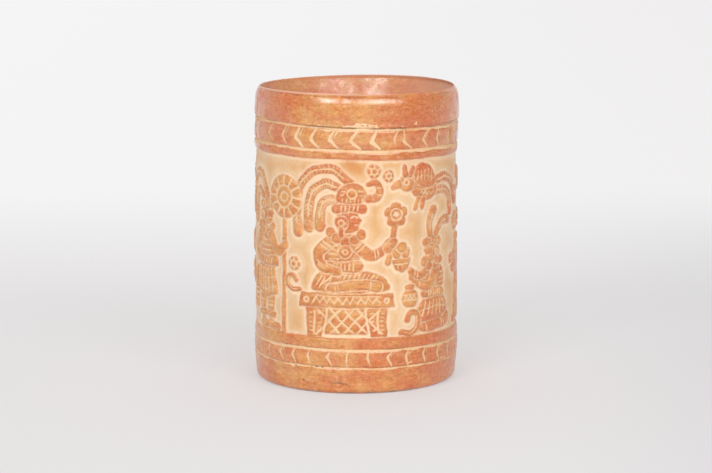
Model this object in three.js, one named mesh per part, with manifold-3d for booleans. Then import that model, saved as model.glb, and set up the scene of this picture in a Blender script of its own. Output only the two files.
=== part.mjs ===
// A carved earthenware cylinder vase, hand built in clay courses: a thick base slab, a ring with the lower
// chevron band, a tall drum with a frieze in low relief, a ring with the upper chevron band and a rolled rim
// collar, with a thin coil pressed into the corner between floor and wall. The courses stand on each other
// on flat luted joints.
// Millimetres, +Z up, origin at the middle of the face that the vase rests on. The front faces -Y.
import * as THREE from "three";
import { mergeVertices } from "three/addons/utils/BufferGeometryUtils.js";
import Module from "manifold-3d";

const wasm = await Module();
wasm.setup();

// Driving sizes
const vaseHeight = 147.6;
const bandRadius = 51.1;
const wallThickness = 5.6;
const reliefHeight = 1.1;
const roundSteps = 60;

// Heights of the courses
const baseHeight = 13.4;
const lowerBandHeight = 13.3;
const upperBandHeight = 14;
const collarHeight = 16.6;

// Base slab
const restInset = 4.1;
const footInset = 1;
const footCurveHeight = 3.2;
const footCurveStart = -65;
const footTaper = 0.2;

// Carved rings and the mouldings beside them
const grooveWidth = 1.7;
const grooveDepth = 0.9;
const lowerMouldingHeight = 4.4;
const upperMouldingHeight = 3.5;
const borderHeight = 1.2;
const borderSlope = 0.5;

// Rim collar
const collarBulge = 0.4;
const collarTaper = 1.05;
const lipHeight = 4.4;
const lipCrestInset = 3.1;
const lipInnerRoll = 0.3;
const lipInnerDrop = 1;
const mouthFlareHeight = 10.6;

// Corner coil
const coilSize = 3.2;
const coilHollow = 2.6;
const lutingGap = 0.3;

// Chevrons
const chevronDepth = 0.7;
const chevronReach = 4;
const upperChevrons = { count: 31, line: 1.5, rise: 3.9, lean: 2.6, drop: 4.1, back: 3.4 };
const lowerChevrons = { count: 32, line: 1.1, rise: 3.1, lean: 1.6, drop: 3.5, back: 2.6 };

// The frieze is drawn on a flat panel, which is then wrapped round the drum
const panelLength = 321;
const panelHeight = 88;
const wrapReach = 1.4;
const discSides = 10;

const innerRadius = bandRadius - wallThickness;
const groundRadius = bandRadius - reliefHeight;
const halfGroove = grooveWidth / 2;
const baseTop = baseHeight;
const drumBottom = baseTop + lowerBandHeight;
const lowerGrooveHeight = drumBottom - lowerMouldingHeight;
const collarBottom = vaseHeight - collarHeight;
const drumTop = collarBottom - upperBandHeight;
const upperGrooveHeight = drumTop + upperMouldingHeight;
const groundBottom = drumBottom + borderHeight;
const groundTop = drumTop - borderHeight;

const slipRed = new THREE.MeshStandardMaterial({ color: 0xc9713f, roughness: 0.5, metalness: 0 });
const scrapedClay = new THREE.MeshStandardMaterial({ color: 0xe3bb8c, roughness: 0.85, metalness: 0 });
const bareClay = new THREE.MeshStandardMaterial({ color: 0xbd6b42, roughness: 0.8, metalness: 0 });

// Points of an arc from one angle to another, in degrees, about a centre in the radius and height plane
function arc(centreRadius, centreHeight, radiusAcross, radiusUp, from, to, steps) {
  return Array.from({ length: steps + 1 }, (_, i) => {
    const angle = THREE.MathUtils.degToRad(from + ((to - from) * i) / steps);
    return [centreRadius + radiusAcross * Math.cos(angle), centreHeight + radiusUp * Math.sin(angle)];
  });
}

// A body of revolution about Z from an outline of [radius, height] points, listed with the solid on the left.
// A ring closes its outline, a solid body runs its outline from axis to axis.
function turned(outline, isRing = true) {
  const closed = isRing ? [...outline, outline[0]] : outline;
  const geometry = new THREE.LatheGeometry(closed.map((point) => new THREE.Vector2(...point)), roundSteps);
  geometry.rotateX(Math.PI / 2);
  return geometry;
}

// Closed geometry to a solid for joining and cutting, and back
function toSolid(geometry) {
  const bare = geometry.clone();
  bare.deleteAttribute("normal");
  bare.deleteAttribute("uv");
  const merged = mergeVertices(bare, 1e-4);
  return new wasm.Manifold(new wasm.Mesh({
    numProp: 3,
    vertProperties: new Float32Array(merged.attributes.position.array),
    triVerts: new Uint32Array(merged.index.array),
  }));
}

function toGeometry(solid) {
  const mesh = solid.getMesh();
  const geometry = new THREE.BufferGeometry();
  geometry.setAttribute("position", new THREE.BufferAttribute(mesh.vertProperties, 3));
  geometry.setIndex(new THREE.BufferAttribute(mesh.triVerts, 1));
  geometry.computeVertexNormals();
  return geometry;
}

function named(name, geometry, material) {
  const mesh = new THREE.Mesh(geometry, material);
  mesh.name = name;
  return mesh;
}

// Chevron gouges pointing left, evenly spaced round a band, as one cutting solid
function chevronCutters(style, middleHeight) {
  const half = style.line / 2;
  const outline = new THREE.Shape([
    new THREE.Vector2(style.lean - half, style.rise),
    new THREE.Vector2(-half, 0),
    new THREE.Vector2(style.back - half, -style.drop),
    new THREE.Vector2(style.back + half, -style.drop),
    new THREE.Vector2(half, 0),
    new THREE.Vector2(style.lean + half, style.rise),
  ]);
  const cutters = [];
  for (let i = 0; i < style.count; i += 1) {
    const gouge = new THREE.ExtrudeGeometry(outline, { depth: chevronReach, bevelEnabled: false });
    gouge.rotateX(Math.PI / 2);
    gouge.translate(0, chevronDepth - bandRadius, middleHeight);
    gouge.rotateZ((i * 2 * Math.PI) / style.count);
    cutters.push(toSolid(gouge));
  }
  return wasm.Manifold.union(cutters);
}

// The marks of the drawing, each a closed outline on the flat panel
function plate(corners) {
  return corners.map((corner) => new THREE.Vector2(...corner));
}

function disc(x, y, radius) {
  return new THREE.EllipseCurve(x, y, radius, radius).getPoints(discSides).slice(0, -1);
}

// A band along a path, from one width to another, with blunt pointed ends
function limb(corners, startWidth, endWidth = startWidth) {
  const path = new THREE.SplineCurve(plate(corners));
  const steps = corners.length - 1;
  const left = [];
  const right = [];
  for (let i = 0; i <= steps; i += 1) {
    const halfWidth = THREE.MathUtils.lerp(startWidth, endWidth, i / steps) / 2;
    const point = path.getPoint(i / steps);
    const along = path.getTangent(i / steps);
    const across = new THREE.Vector2(-along.y, along.x).multiplyScalar(halfWidth);
    left.push(point.clone().add(across));
    right.unshift(point.clone().sub(across));
  }
  const startCap = path.getPoint(0).addScaledVector(path.getTangent(0), -startWidth / 2);
  const endCap = path.getPoint(1).addScaledVector(path.getTangent(1), endWidth / 2);
  return [startCap, ...left, endCap, ...right];
}

// A drawing moved to its place on the panel, at a size, facing right or turned to face left
function placed(marks, x, y, facing = 1, size = 1) {
  return marks.map((mark) => mark.map(
    (point) => new THREE.Vector2(x + facing * size * point.x, y + size * point.y),
  ));
}

const bench = [
  plate([[-20, 0], [-12.4, 0], [-10.2, 14], [-20.4, 14]]),
  plate([[12.4, 0], [20, 0], [20.4, 14], [10.2, 14]]),
  plate([[-8.4, 1.6], [8.4, 1.6], [6.8, 13.6], [-6.8, 13.6]]),
  plate([[-24.4, 14.8], [24.4, 14.8], [23.2, 20.8], [-23.2, 20.8]]),
];

const head = [
  plate([[-4.4, 0.4], [-4.9, 5], [-3.6, 9.2], [1, 10.6], [4.6, 9.2], [6.7, 4.6], [5.6, 1], [0, -0.6]]),
];

const turban = [limb([[-4.8, 9.2], [0.5, 10.9], [6.4, 9.2]], 3.4)];

const dignitary = [
  ...bench,
  limb([[2, 76], [-6, 82], [-17, 80.6], [-24.4, 73], [-26.6, 61], [-25.4, 51]], 3.4, 5.2),
  limb([[-1, 72.4], [-9.4, 75.4], [-16.4, 71.4], [-19.6, 62.6], [-19.4, 53.6]], 3.4, 5.2),
  limb([[-1, 66.4], [-6.4, 68], [-10.8, 66], [-13, 60.6], [-13.2, 54.2]], 3.4, 5.2),
  plate([[-14, 22.4], [-16.4, 26.4], [-13, 31.6], [-4, 33.4], [7, 32.6], [16, 30.6], [20.6, 26.6], [18.6, 22.6]]),
  plate([[-8.4, 33], [-10.6, 40], [-9.8, 48], [-5, 51.4], [3.4, 50.8], [7.6, 46.6], [6.6, 39], [5, 33]]),
  limb([[-9, 35], [-2, 34.4], [6, 35]], 4.4),
  limb([[-8, 47], [-14, 41], [-12, 35], [-4, 32]], 5.2, 3.6),
  limb([[4.4, 46.4], [11.4, 40.2], [18, 42.4], [22, 46.4]], 5.4, 3.4),
  limb([[-7.6, 51.6], [-4, 48.4], [3, 48], [8.4, 51.6]], 4),
  ...placed(head, 0.8, 52.4),
  limb([[-4.6, 63], [2, 64.2], [8.6, 63]], 3.6),
  plate([[-3.4, 67], [-2.8, 73.4], [4, 75.6], [9.2, 73], [9.4, 67]]),
  limb([[11, 67.6], [14.8, 68.6], [16.8, 72], [15, 76]], 3.4, 2.4),
  limb([[21, 36.5], [23, 46], [24.6, 54]], 2.2),
  limb([[21.4, 43.4], [24.2, 46.6]], 4.4, 3.4),
  disc(25.4, 60, 5.4),
];

const kneeler = [
  limb([[13, 6], [10, 3.4], [-6, 3.2]], 4.6, 5.6),
  plate([[-8.6, 5.4], [-10.4, 10], [-6.8, 15.8], [1, 18.4], [9, 16.8], [12.8, 11.4], [10, 7.4]]),
  plate([[-5, 18.6], [-6.8, 25], [-5.6, 31.6], [-1, 34.2], [5.6, 33], [9.2, 28], [8.6, 21.6], [6, 18.4]]),
  limb([[-6, 19], [0, 19.6], [8, 19]], 3.6),
  limb([[2.8, 30.8], [-2.6, 23], [-9, 24.6], [-13.6, 28.8]], 4.8, 3.2),
  limb([[-6, 35.4], [-1, 32.8], [5.6, 35.4]], 3.6),
  ...placed([...head, ...turban], 0.6, 36, -1, 0.95),
  limb([[3, 48.6], [7, 53.6], [14, 54.4]], 3.4, 4.6),
  limb([[-2, 48.6], [-2.4, 54], [0.4, 60.4]], 3.4, 4.6),
  plate([[-25, 37.6], [-23, 33], [-19.6, 31.4], [-16.2, 33], [-14.2, 37.6]]),
  plate([[-23.4, 38.8], [-23, 42.6], [-19.6, 45.4], [-16.2, 42.6], [-15.8, 38.8]]),
];

const standardBearer = [
  limb([[-5, 2.2], [1.6, 1.8]], 4, 3),
  limb([[3.2, 2.2], [10, 1.8]], 4, 3),
  limb([[-4.6, 6], [-5, 11], [-4, 18]], 4, 6.6),
  limb([[4, 6], [3.6, 11], [3.8, 18]], 4, 6.6),
  plate([[-9.6, 18], [-7.4, 33.4], [7, 33.4], [9.8, 18.2], [0, 16]]),
  plate([[-7, 34.6], [-8.8, 42.4], [-7.8, 48.8], [-2, 51], [4.8, 50], [7.6, 45], [6.6, 34.6]]),
  limb([[-8.4, 34.4], [0, 33.8], [8, 34.4]], 4),
  limb([[-6.8, 47], [-12.4, 40.6], [-9.6, 34.8], [-4.6, 34]], 4.8, 3.4),
  limb([[-11.4, 29], [-13, 21], [-13.2, 11.4]], 3, 5.6),
  limb([[-7.4, 52.4], [-1, 49], [6, 52.4]], 3.8),
  ...placed([...head, ...turban], -0.4, 53, 1, 0.98),
  limb([[-3.4, 66], [-9.4, 68.4], [-13.4, 62], [-13.4, 54]], 3.4, 4.8),
  limb([[1, 66.6], [-4.4, 75.4], [-13, 76.4], [-18.6, 67], [-19, 57]], 3.4, 4.8),
  limb([[14, 1], [14.6, 30], [14.8, 56]], 2.2),
  limb([[4.8, 46.4], [9.6, 40], [15.4, 43.4]], 5, 3.6),
  disc(14.8, 67.4, 10.4),
];

const jaguar = [
  limb([[-10, 5], [-16, 6], [-18.6, 13], [-16, 21], [-19.4, 28.6]], 4.2, 3.6),
  plate([[-12.6, 1.8], [-14, 9], [-10.6, 19], [-6, 27], [0, 31], [6.6, 29], [7.8, 22], [5, 13], [3.4, 4], [-4, 1.4]]),
  limb([[5, 25], [8, 13], [9.4, 3]], 6, 4),
  plate([[-10.6, 3.6], [-11.4, 10], [-5, 13.6], [0.4, 10.2], [5.8, 4.4], [4.8, 1.6]]),
  limb([[0.4, 39.6], [-1.4, 43.4]], 4.4, 2.6),
  limb([[8, 40], [7.6, 44]], 4.4, 2.4),
  plate([[-2.6, 28.4], [-4.2, 34], [-1, 39.8], [5, 41.4], [10.4, 39.4], [17.4, 35.6], [18.2, 31], [14.6, 27.2], [2, 26]]),
];

const plumedBird = [
  limb([[-4, 12], [-13, 14], [-22, 10.6], [-27, 1]], 3.4, 4.6),
  limb([[-4, 7.6], [-12, 8], [-18.6, 4], [-20.4, -4]], 3.4, 4.6),
  plate([[-7, 9], [-4, 14], [3, 15], [9, 12.4], [9.6, 7.6], [4, 4], [-3, 4.8]]),
  plate([[-6, 11.8], [-3, 19], [3.6, 21.6], [9, 18.6], [6.4, 12.4], [0, 9.6]]),
  disc(12.8, 13, 3.9),
  limb([[17.4, 12.8], [20.4, 11.4]], 3, 2),
  limb([[4, 3], [4.6, -0.6]], 3),
];

const waterLily = [
  limb([[0, 0], [2.4, 8], [-1.6, 15], [1.4, 22]], 2.6),
  plate([[-7.4, 31.4], [-4, 23.6], [1.4, 21.4], [6.6, 24], [9.8, 31.4], [4.6, 28.4], [1.2, 33.6], [-2.4, 28.4]]),
  plate([[3.4, 9.4], [8, 8], [11.4, 11.6], [7.6, 15], [4, 13]]),
  plate([[-2.8, 15.6], [-7, 14.2], [-10.4, 17.6], [-6.8, 21], [-3.2, 19]]),
];

const scroll = [limb([[-1, 1.4], [4.6, 1], [9, 4.4], [8.6, 9.6], [4.4, 10.6]], 2.4, 3)];

// The whole frieze, drawn as it is seen from outside, with 0 across at the front of the vase
const frieze = [
  ...placed(dignitary, -5, 0.8),
  ...placed(kneeler, 43, 0.8),
  ...placed(plumedBird, 39, 63, -1),
  ...placed(standardBearer, -54, 0.8),
  ...placed(scroll, 24, 0.8),
  ...placed(jaguar, 78, 0.8, -1),
  disc(68, 53, 5),
  disc(80, 53, 5),
  ...placed(scroll, 69, 68),
  ...placed(waterLily, 104, 0.8, 1, 1.25),
  ...placed(waterLily, -86, 0.8, -1, 1.5),
  disc(-86, 62, 5.2),
  disc(-86, 76, 4.6),
  ...placed(standardBearer, 140, 0.8),
  ...placed(jaguar, -120, 0.8, 1, 1.15),
];

// A flat outline wrapped round the drum as a solid that reaches through the wall's outer face
function wrapped(outline) {
  const shape = new THREE.Shape(outline);
  const geometry = new THREE.ExtrudeGeometry(shape, { depth: 1, steps: 1, bevelEnabled: false });
  const position = geometry.attributes.position;
  const unitHeight = (groundTop - groundBottom) / panelHeight;
  for (let i = 0; i < position.count; i += 1) {
    const angle = (position.getX(i) * 2 * Math.PI) / panelLength;
    const radius = position.getZ(i) > 0 ? bandRadius * wrapReach : innerRadius;
    const height = groundBottom + position.getY(i) * unitHeight;
    position.setXYZ(i, radius * Math.sin(angle), -radius * Math.cos(angle), height);
  }
  return toSolid(geometry);
}

// The drawing's marks standing out of the ground, up to the radius of the bands
function reliefSolid() {
  const middleRadius = (innerRadius + groundRadius) / 2;
  const skin = toSolid(turned([
    [middleRadius, groundBottom],
    [bandRadius, groundBottom],
    [bandRadius, groundTop],
    [middleRadius, groundTop],
  ]));
  return wasm.Manifold.union(frieze.map(wrapped)).intersect(skin);
}

function baseSlab() {
  const restRadius = bandRadius - restInset;
  const footRadius = bandRadius - footInset;
  const outline = [
    [0, 0],
    [restRadius, 0],
    ...arc(restRadius, footCurveHeight, footRadius - restRadius, footCurveHeight, footCurveStart, 0, 4),
    [bandRadius - footTaper, baseTop - halfGroove],
    [bandRadius - grooveDepth, baseTop],
    [0, baseTop],
  ];
  return named("base_slab", turned(outline, false), slipRed);
}

function lowerBandRing() {
  const ring = toSolid(turned([
    [innerRadius, baseTop],
    [bandRadius - grooveDepth, baseTop],
    [bandRadius, baseTop + halfGroove],
    [bandRadius, lowerGrooveHeight - halfGroove],
    [bandRadius - grooveDepth, lowerGrooveHeight],
    [bandRadius, lowerGrooveHeight + halfGroove],
    [bandRadius, drumBottom],
    [innerRadius, drumBottom],
  ]));
  const bandMiddle = (baseTop + lowerGrooveHeight) / 2;
  return named("lower_band_ring", toGeometry(ring.subtract(chevronCutters(lowerChevrons, bandMiddle))), slipRed);
}

function figureDrum() {
  const core = toSolid(turned([
    [innerRadius, drumBottom],
    [bandRadius, drumBottom],
    [bandRadius, groundBottom],
    [groundRadius, groundBottom + borderSlope],
    [groundRadius, groundTop - borderSlope],
    [bandRadius, groundTop],
    [bandRadius, drumTop],
    [innerRadius, drumTop],
  ]));
  return named("figure_drum", toGeometry(core.add(reliefSolid())), scrapedClay);
}

function upperBandRing() {
  const ring = toSolid(turned([
    [innerRadius, drumTop],
    [bandRadius, drumTop],
    [bandRadius, upperGrooveHeight - halfGroove],
    [bandRadius - grooveDepth, upperGrooveHeight],
    [bandRadius, upperGrooveHeight + halfGroove],
    [bandRadius, collarBottom - halfGroove],
    [bandRadius - grooveDepth, collarBottom],
    [innerRadius, collarBottom],
  ]));
  const bandMiddle = (upperGrooveHeight + collarBottom) / 2;
  return named("upper_band_ring", toGeometry(ring.subtract(chevronCutters(upperChevrons, bandMiddle))), slipRed);
}

function rimCollar() {
  const collarRadius = bandRadius + collarBulge;
  const crestRadius = collarRadius - lipCrestInset;
  const lipBottom = vaseHeight - lipHeight;
  const outline = [
    [innerRadius, collarBottom],
    [bandRadius - grooveDepth, collarBottom],
    [collarRadius, collarBottom + halfGroove],
    ...arc(crestRadius, lipBottom, lipCrestInset - collarTaper, lipHeight, 0, 90, 7),
    [crestRadius - lipInnerRoll, vaseHeight - lipInnerDrop],
    [innerRadius, vaseHeight - mouthFlareHeight],
  ];
  return named("rim_collar", turned(outline), slipRed);
}

// Concave fillet of clay in the corner between the floor and the first course
function cornerCoil() {
  const outerRadius = innerRadius - lutingGap;
  const outline = [
    [outerRadius - coilSize, baseTop],
    [outerRadius, baseTop],
    [outerRadius, baseTop + coilSize],
    ...arc(outerRadius - coilSize, baseTop + coilSize, coilHollow, coilHollow, -20, -70, 2),
  ];
  return named("corner_coil", turned(outline), bareClay);
}

const vase = new THREE.Group();
vase.add(baseSlab(), lowerBandRing(), figureDrum(), upperBandRing(), rimCollar(), cornerCoil());

export default vase;
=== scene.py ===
"""A carved earthenware cylinder vase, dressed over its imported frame.

Every course of the vase is one turned piece. Its outer skin is carved by moving the vertices inwards: rings,
chevrons and a frieze that is drawn in millimetres on the unrolled wall. The same drawing leaves its distances
on the vertices, and the materials read them to lay orange slip on what stands proud and bare cream clay in
the cuts.
"""

import math

import bmesh
import bpy
import numpy as np
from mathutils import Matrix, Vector


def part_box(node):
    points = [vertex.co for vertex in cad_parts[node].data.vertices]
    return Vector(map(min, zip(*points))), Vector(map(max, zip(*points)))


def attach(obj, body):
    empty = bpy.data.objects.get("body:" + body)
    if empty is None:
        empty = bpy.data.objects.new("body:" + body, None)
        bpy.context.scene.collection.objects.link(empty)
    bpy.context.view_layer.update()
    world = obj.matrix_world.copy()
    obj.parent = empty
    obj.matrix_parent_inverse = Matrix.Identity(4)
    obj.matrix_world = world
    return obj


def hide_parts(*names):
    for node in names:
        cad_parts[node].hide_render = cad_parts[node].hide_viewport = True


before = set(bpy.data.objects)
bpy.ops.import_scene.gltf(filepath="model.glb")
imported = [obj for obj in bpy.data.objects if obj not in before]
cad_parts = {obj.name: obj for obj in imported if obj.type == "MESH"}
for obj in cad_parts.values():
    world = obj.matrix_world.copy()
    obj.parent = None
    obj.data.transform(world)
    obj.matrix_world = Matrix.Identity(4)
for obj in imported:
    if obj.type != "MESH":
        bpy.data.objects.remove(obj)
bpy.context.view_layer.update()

bl_info = {
    "name": "Carved cylinder vase",
    "version": (1, 0, 0),
    "blender": (4, 5, 0),
    "location": "View3D > Sidebar > Vase",
    "description": "Builds a carved earthenware cylinder vase with chevron bands and a figure frieze",
    "category": "Add Mesh",
}

MM = 0.001
FINER = 8  # faces round the wall for each step of the turned outline
FAR = 5.0  # stands for a distance in millimetres that no mark reaches
MAP_MARGIN = 0.004  # gap beside the flat map of a piece
MAP_SHARE = 0.9702  # how much of the square its flat map takes up
SHARP = math.radians(62)  # corners of a piece above this angle stay crisp
DRUM_STEP = 0.555  # height of the drum's faces in millimetres
BARE_ROUGHNESS = 0.72

# Roughness of the slip, share of its burnished skin and sheen, for each slot that has slip
FINISHES = {"burnished_slip": (0.36, 1.0, 0.0), "carved_relief": (0.46, 0.3, 0.36)}


# Sizes that the frame gives, in millimetres

def heights(node):
    """Where a node starts and ends above the table."""
    low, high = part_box(node)
    return low.z / MM, high.z / MM


BASE_TOP = heights("base_slab")[1]
DRUM_BOTTOM, DRUM_TOP = heights("figure_drum")
COLLAR_BOTTOM, RIM_TOP = heights("rim_collar")
BAND_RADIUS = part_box("figure_drum")[1].x / MM
COLLAR_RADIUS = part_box("rim_collar")[1].x / MM
COIL_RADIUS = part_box("corner_coil")[1].x / MM
COIL_TOP = heights("corner_coil")[1]
ROUND = 2 * math.pi * BAND_RADIUS


def colour(red, green, blue):
    """A linear colour from the 0 to 255 values that a screen shows."""
    def linear(value):
        value /= 255
        return value / 12.92 if value <= 0.04045 else ((value + 0.055) / 1.055) ** 2.4
    return linear(red), linear(green), linear(blue)


def length_setting(name, description, default):
    """A length that a user can change, written in millimetres."""
    return bpy.props.FloatProperty(name=name, description=description, default=default * MM, min=0,
                                   precision=5, subtype="DISTANCE", unit="LENGTH")


def colour_setting(name, description, *values):
    """A colour that a user can change, given by its 0 to 255 values."""
    return bpy.props.FloatVectorProperty(name=name, description=description, default=colour(*values), size=3,
                                         min=0, max=1, subtype="COLOR")


class VaseSizes(bpy.types.PropertyGroup):
    wall: length_setting("Wall", "Thickness of the wall", 5.6)
    foot_inset: length_setting("Foot inset", "How far the face that it rests on lies inside the bands", 4.1)
    foot_curve: length_setting("Foot curve", "Height of the rounded edge under the foot band", 3.2)
    lip_flare: length_setting("Inner flare", "How far the inside of the rim opens out", 2.9)
    lip_lean: length_setting("Lip lean", "How far the mouth lies to the right of the collar", 1.0)
    lip_dip: length_setting("Lip dip", "How much the crest dips and rises round the mouth", 0.8)
    lower_ring: length_setting("Lower ring", "Height of the carved ring over the lower band", 22.3)
    upper_ring: length_setting("Upper ring", "Height of the carved ring under the upper band", 120.5)
    ring_depth: length_setting("Ring depth", "Depth of the carved rings", 0.95)
    chevron_depth: length_setting("Chevron depth", "Depth of the gouged chevrons", 0.6)
    relief: length_setting("Relief", "How far the figures stand out of the scraped ground", 1.05)
    line_depth: length_setting("Line depth", "Depth of the lines inside the figures", 0.6)
    border: length_setting("Border", "Width of the raised edge above and below the frieze", 1.2)
    waver: length_setting("Waver", "How much the hand-built wall wavers", 0.12)
    drift: length_setting("Drift", "How much the ring under the collar falls from left to right", 1.3)
    columns: bpy.props.IntProperty(
        name="Columns", description="Faces round the wall", default=576, min=96, max=1200)


def in_mm(sizes):
    """The lengths that a user can change, in millimetres."""
    return {name: getattr(sizes, name) / MM for name in VaseSizes.__annotations__ if name != "columns"}


class VaseColours(bpy.types.PropertyGroup):
    slip: colour_setting("Slip", "Burnished orange slip", 216, 126, 68)
    slip_ochre: colour_setting("Ochre slip", "Paler, yellower patches of the slip", 228, 162, 92)
    slip_red: colour_setting("Red slip", "Redder patches of the slip", 217, 106, 56)
    cream: colour_setting("Cream clay", "Bare clay in fresh cuts", 249, 213, 171)
    tan: colour_setting("Tan clay", "Scraped ground away from the cuts", 235, 183, 128)
    # Painted shade: the thin darker line along the figures' edges stands in for the shade on their steep
    # sides.
    edge: colour_setting("Edge", "Thin darker line along the edges of the figures", 196, 108, 60)
    stain: colour_setting("Stain", "Browner stains on the scraped ground", 224, 158, 100)
    # Painted shade: the dark lines in the grooves, the crease under the crest and along the foot stand in for
    # shade; the same colour marks the cracks.
    shade_and_crack: colour_setting("Dirt", "Dark line in the undercuts", 122, 88, 66)
    # Partly a real dusty film inside the mouth, partly painted light: a painted highlight along the crest and
    # painted light at the right end of the inside.
    dust_and_highlight: colour_setting("Dust", "Film on the unburnished slip inside the mouth", 240, 184, 154)
    raw: colour_setting("Raw clay", "Unslipped clay under the foot and in the corner", 190, 118, 80)


class StageSettings(bpy.types.PropertyGroup):
    camera_distance: length_setting("Camera distance", "From the vase's axis to the camera", 1300)
    camera_height: length_setting("Camera height", "From the table to the camera", 281)
    camera_pitch: bpy.props.FloatProperty(
        name="Camera pitch", description="How far the camera looks down", default=math.radians(9.207),
        subtype="ANGLE")
    camera_lens: bpy.props.FloatProperty(
        name="Camera lens", description="Focal length in millimetres", default=132.2, min=10, unit="CAMERA")
    lamp_watts: bpy.props.FloatProperty(
        name="Lamp power", description="Power of each front softbox", default=24.5, min=0, unit="POWER")
    room_light: bpy.props.FloatProperty(
        name="Room light", description="Strength of the even light from the white room", default=0.3, min=0)
    paper: colour_setting("Paper", "Pale sweep behind and below the vase", 237, 235, 236)
    # Painted shade: the glow that the camera sees is darker on the near floor and to the right.
    near_paper: colour_setting("Near paper", "Floor round the vase as the camera sees it", 236, 233, 233)
    near_paper_right_shade: colour_setting("Near paper right", "Floor to the right of the vase", 216, 215, 217)
    far_paper: colour_setting("Far paper", "The sweep far behind the vase", 245, 245, 245)
    far_paper_right_shade: colour_setting("Far paper right", "The sweep far behind on the right", 240, 238, 238)


# Drawing on the unrolled wall. Across is the arc in millimetres from the front, to the right as seen from
# outside, and up is the height above the sketch's own foot. A mark is (kind, path, half widths): "over" and
# "join" are raised, "over" with a thin moat in what lies below, and "cut" is incised. A path without widths
# is a filled outline.

MOAT = 1.1  # width of the gap that is cut round a raised mark where it lies over another
LINE = 1.05  # width of a cut unless it says otherwise


def smooth(points, closed=False, steps=5):
    """A rounder path through the points."""
    p = np.array(points, float)
    if len(p) < 3:
        return p
    if closed:
        near = np.vstack([p[-1], p, p[:2]])
    else:
        near = np.vstack([2 * p[0] - p[1], p, 2 * p[-1] - p[-2]])
    t = np.linspace(0, 1, steps, endpoint=False)[:, None]
    rows = [
        0.5 * (2 * b + (c - a) * t + (2 * a - 5 * b + 4 * c - d) * t**2 + (3 * b - a - 3 * c + d) * t**3)
        for a, b, c, d in zip(near, near[1:], near[2:], near[3:])
    ]
    return np.vstack(rows if closed else [*rows, p[-1:]])


def patch(points):
    """A raised shape with a rounded outline."""
    return "over", smooth(points, closed=True), None


def plate(points):
    """A raised shape with straight sides."""
    return "over", np.array(points, float), None


def limb(points, start, end=None, kind="over"):
    """A raised strip whose width goes from start to end."""
    path = smooth(points)
    return kind, path, np.linspace(start, start if end is None else end, len(path)) / 2


def cut(points, width=LINE):
    """A curved incised line."""
    return limb(points, width, kind="cut")


def cut_straight(points, width=LINE):
    """An incised line with sharp corners."""
    return "cut", np.array(points, float), np.full(len(points), width / 2)


def circle(across, up, radius, steps=18):
    turn = np.linspace(0, 2 * math.pi, steps + 1)
    return np.stack([across + radius * np.cos(turn), up + radius * np.sin(turn)], -1)


def disc(across, up, radius, kind="over"):
    return kind, circle(across, up, radius)[:-1], None


def ring(across, up, radius, width=LINE):
    """An incised circle."""
    path = circle(across, up, radius)
    return "cut", path, np.full(len(path), width / 2)


def ticks(start, end, count, length, width=LINE, slant=0.0):
    """Short parallel cuts across a band from start to end."""
    a, b = np.array(start, float), np.array(end, float)
    along = (b - a) / np.linalg.norm(b - a)
    reach = (np.array([-along[1], along[0]]) + slant * along) * length / 2
    middles = [a + (b - a) * (i + 0.5) / count for i in range(count)]
    return [cut([middle - reach, middle + reach], width) for middle in middles]


def rays(across, up, inner, outer, count, width=LINE, first=0.0):
    """Cuts that fan out from a centre."""
    turns = [math.radians(first + 360 * i / count) for i in range(count)]
    return [
        cut([(across + inner * math.cos(t), up + inner * math.sin(t)),
             (across + outer * math.cos(t), up + outer * math.sin(t))], width)
        for t in turns
    ]


def beads(across, up, wide, tall, first, step, count, radius):
    """Round beads on part of an oval."""
    turns = [math.radians(first + step * i) for i in range(count)]
    return [disc(across + wide * math.cos(t), up + tall * math.sin(t), radius) for t in turns]


def plumes(*paths, start=3.4, end=5.2, width=0.9):
    """Feathers along paths, each with a cut along its rib and barbs on both sides of it."""
    marks = []
    for path in paths:
        rib = smooth(path)
        marks.append(limb(path, start, end))
        marks.append(cut(rib[2:-1:3], width))
        for root, after in zip(rib[3:-2], rib[4:-1]):
            along = (after - root) / np.linalg.norm(after - root)
            side = np.array([-along[1], along[0]])
            for turn in (-0.9, 0.9):
                marks.append(cut([root + turn * side, root + 2.4 * turn * side + 0.9 * along], 0.5))
    return marks


def zigzag(start, end, low, high, count, width=0.8):
    """A row of triangles cut between two heights."""
    across = np.linspace(start, end, 2 * count + 1)
    return cut_straight([(x, high if i % 2 else low) for i, x in enumerate(across)], width)


def cuts(width, *lines):
    """Several straight cuts of one width, each given by its ends."""
    return [cut_straight(line, width) for line in lines]


def placed(marks, across, up, facing=1, size=1.0):
    """A sketch moved to its place at a size, facing right or turned to face left."""
    turned = np.array([facing * size, size])
    return [
        (kind, path * turned + [across, up], None if widths is None else widths * size)
        for kind, path, widths in marks
    ]


def bench():
    """A bench with a latticed front."""
    marks = [
        plate([(-20, 0), (-12.4, 0), (-10.2, 14), (-20.4, 14)]),
        plate([(12.4, 0), (20, 0), (20.4, 14), (10.2, 14)]),
        plate([(-10.4, 1.6), (10.4, 1.6), (8.6, 13.8), (-8.6, 13.8)]),
        plate([(-24.4, 14.6), (24.4, 14.6), (23.2, 21), (-23.2, 21)]),
    ]
    for step in (-15, -8.4, -1.8, 4.8):
        marks.append(cut([(step, 1), (step + 12.8, 14.4)]))
        marks.append(cut([(step + 12.8, 1), (step, 14.4)]))
    for side in (-1, 1):
        marks.append(cut([(side * 16, 1.5), (side * 15.6, 12.4)]))
        marks.append(ring(side * 20.2, 17.8, 1.2))
        marks += ticks((side * 13.8, 2), (side * 12.6, 12.6), 5, 1.5, 0.6)
        marks += ticks((side * 18, 2), (side * 18, 12.6), 5, 1.5, 0.6)
    return marks + [zigzag(-17, 17, 16.4, 19.4, 9), cut([(-17.4, 20.1), (17.4, 20.1)], 0.5)]


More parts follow.
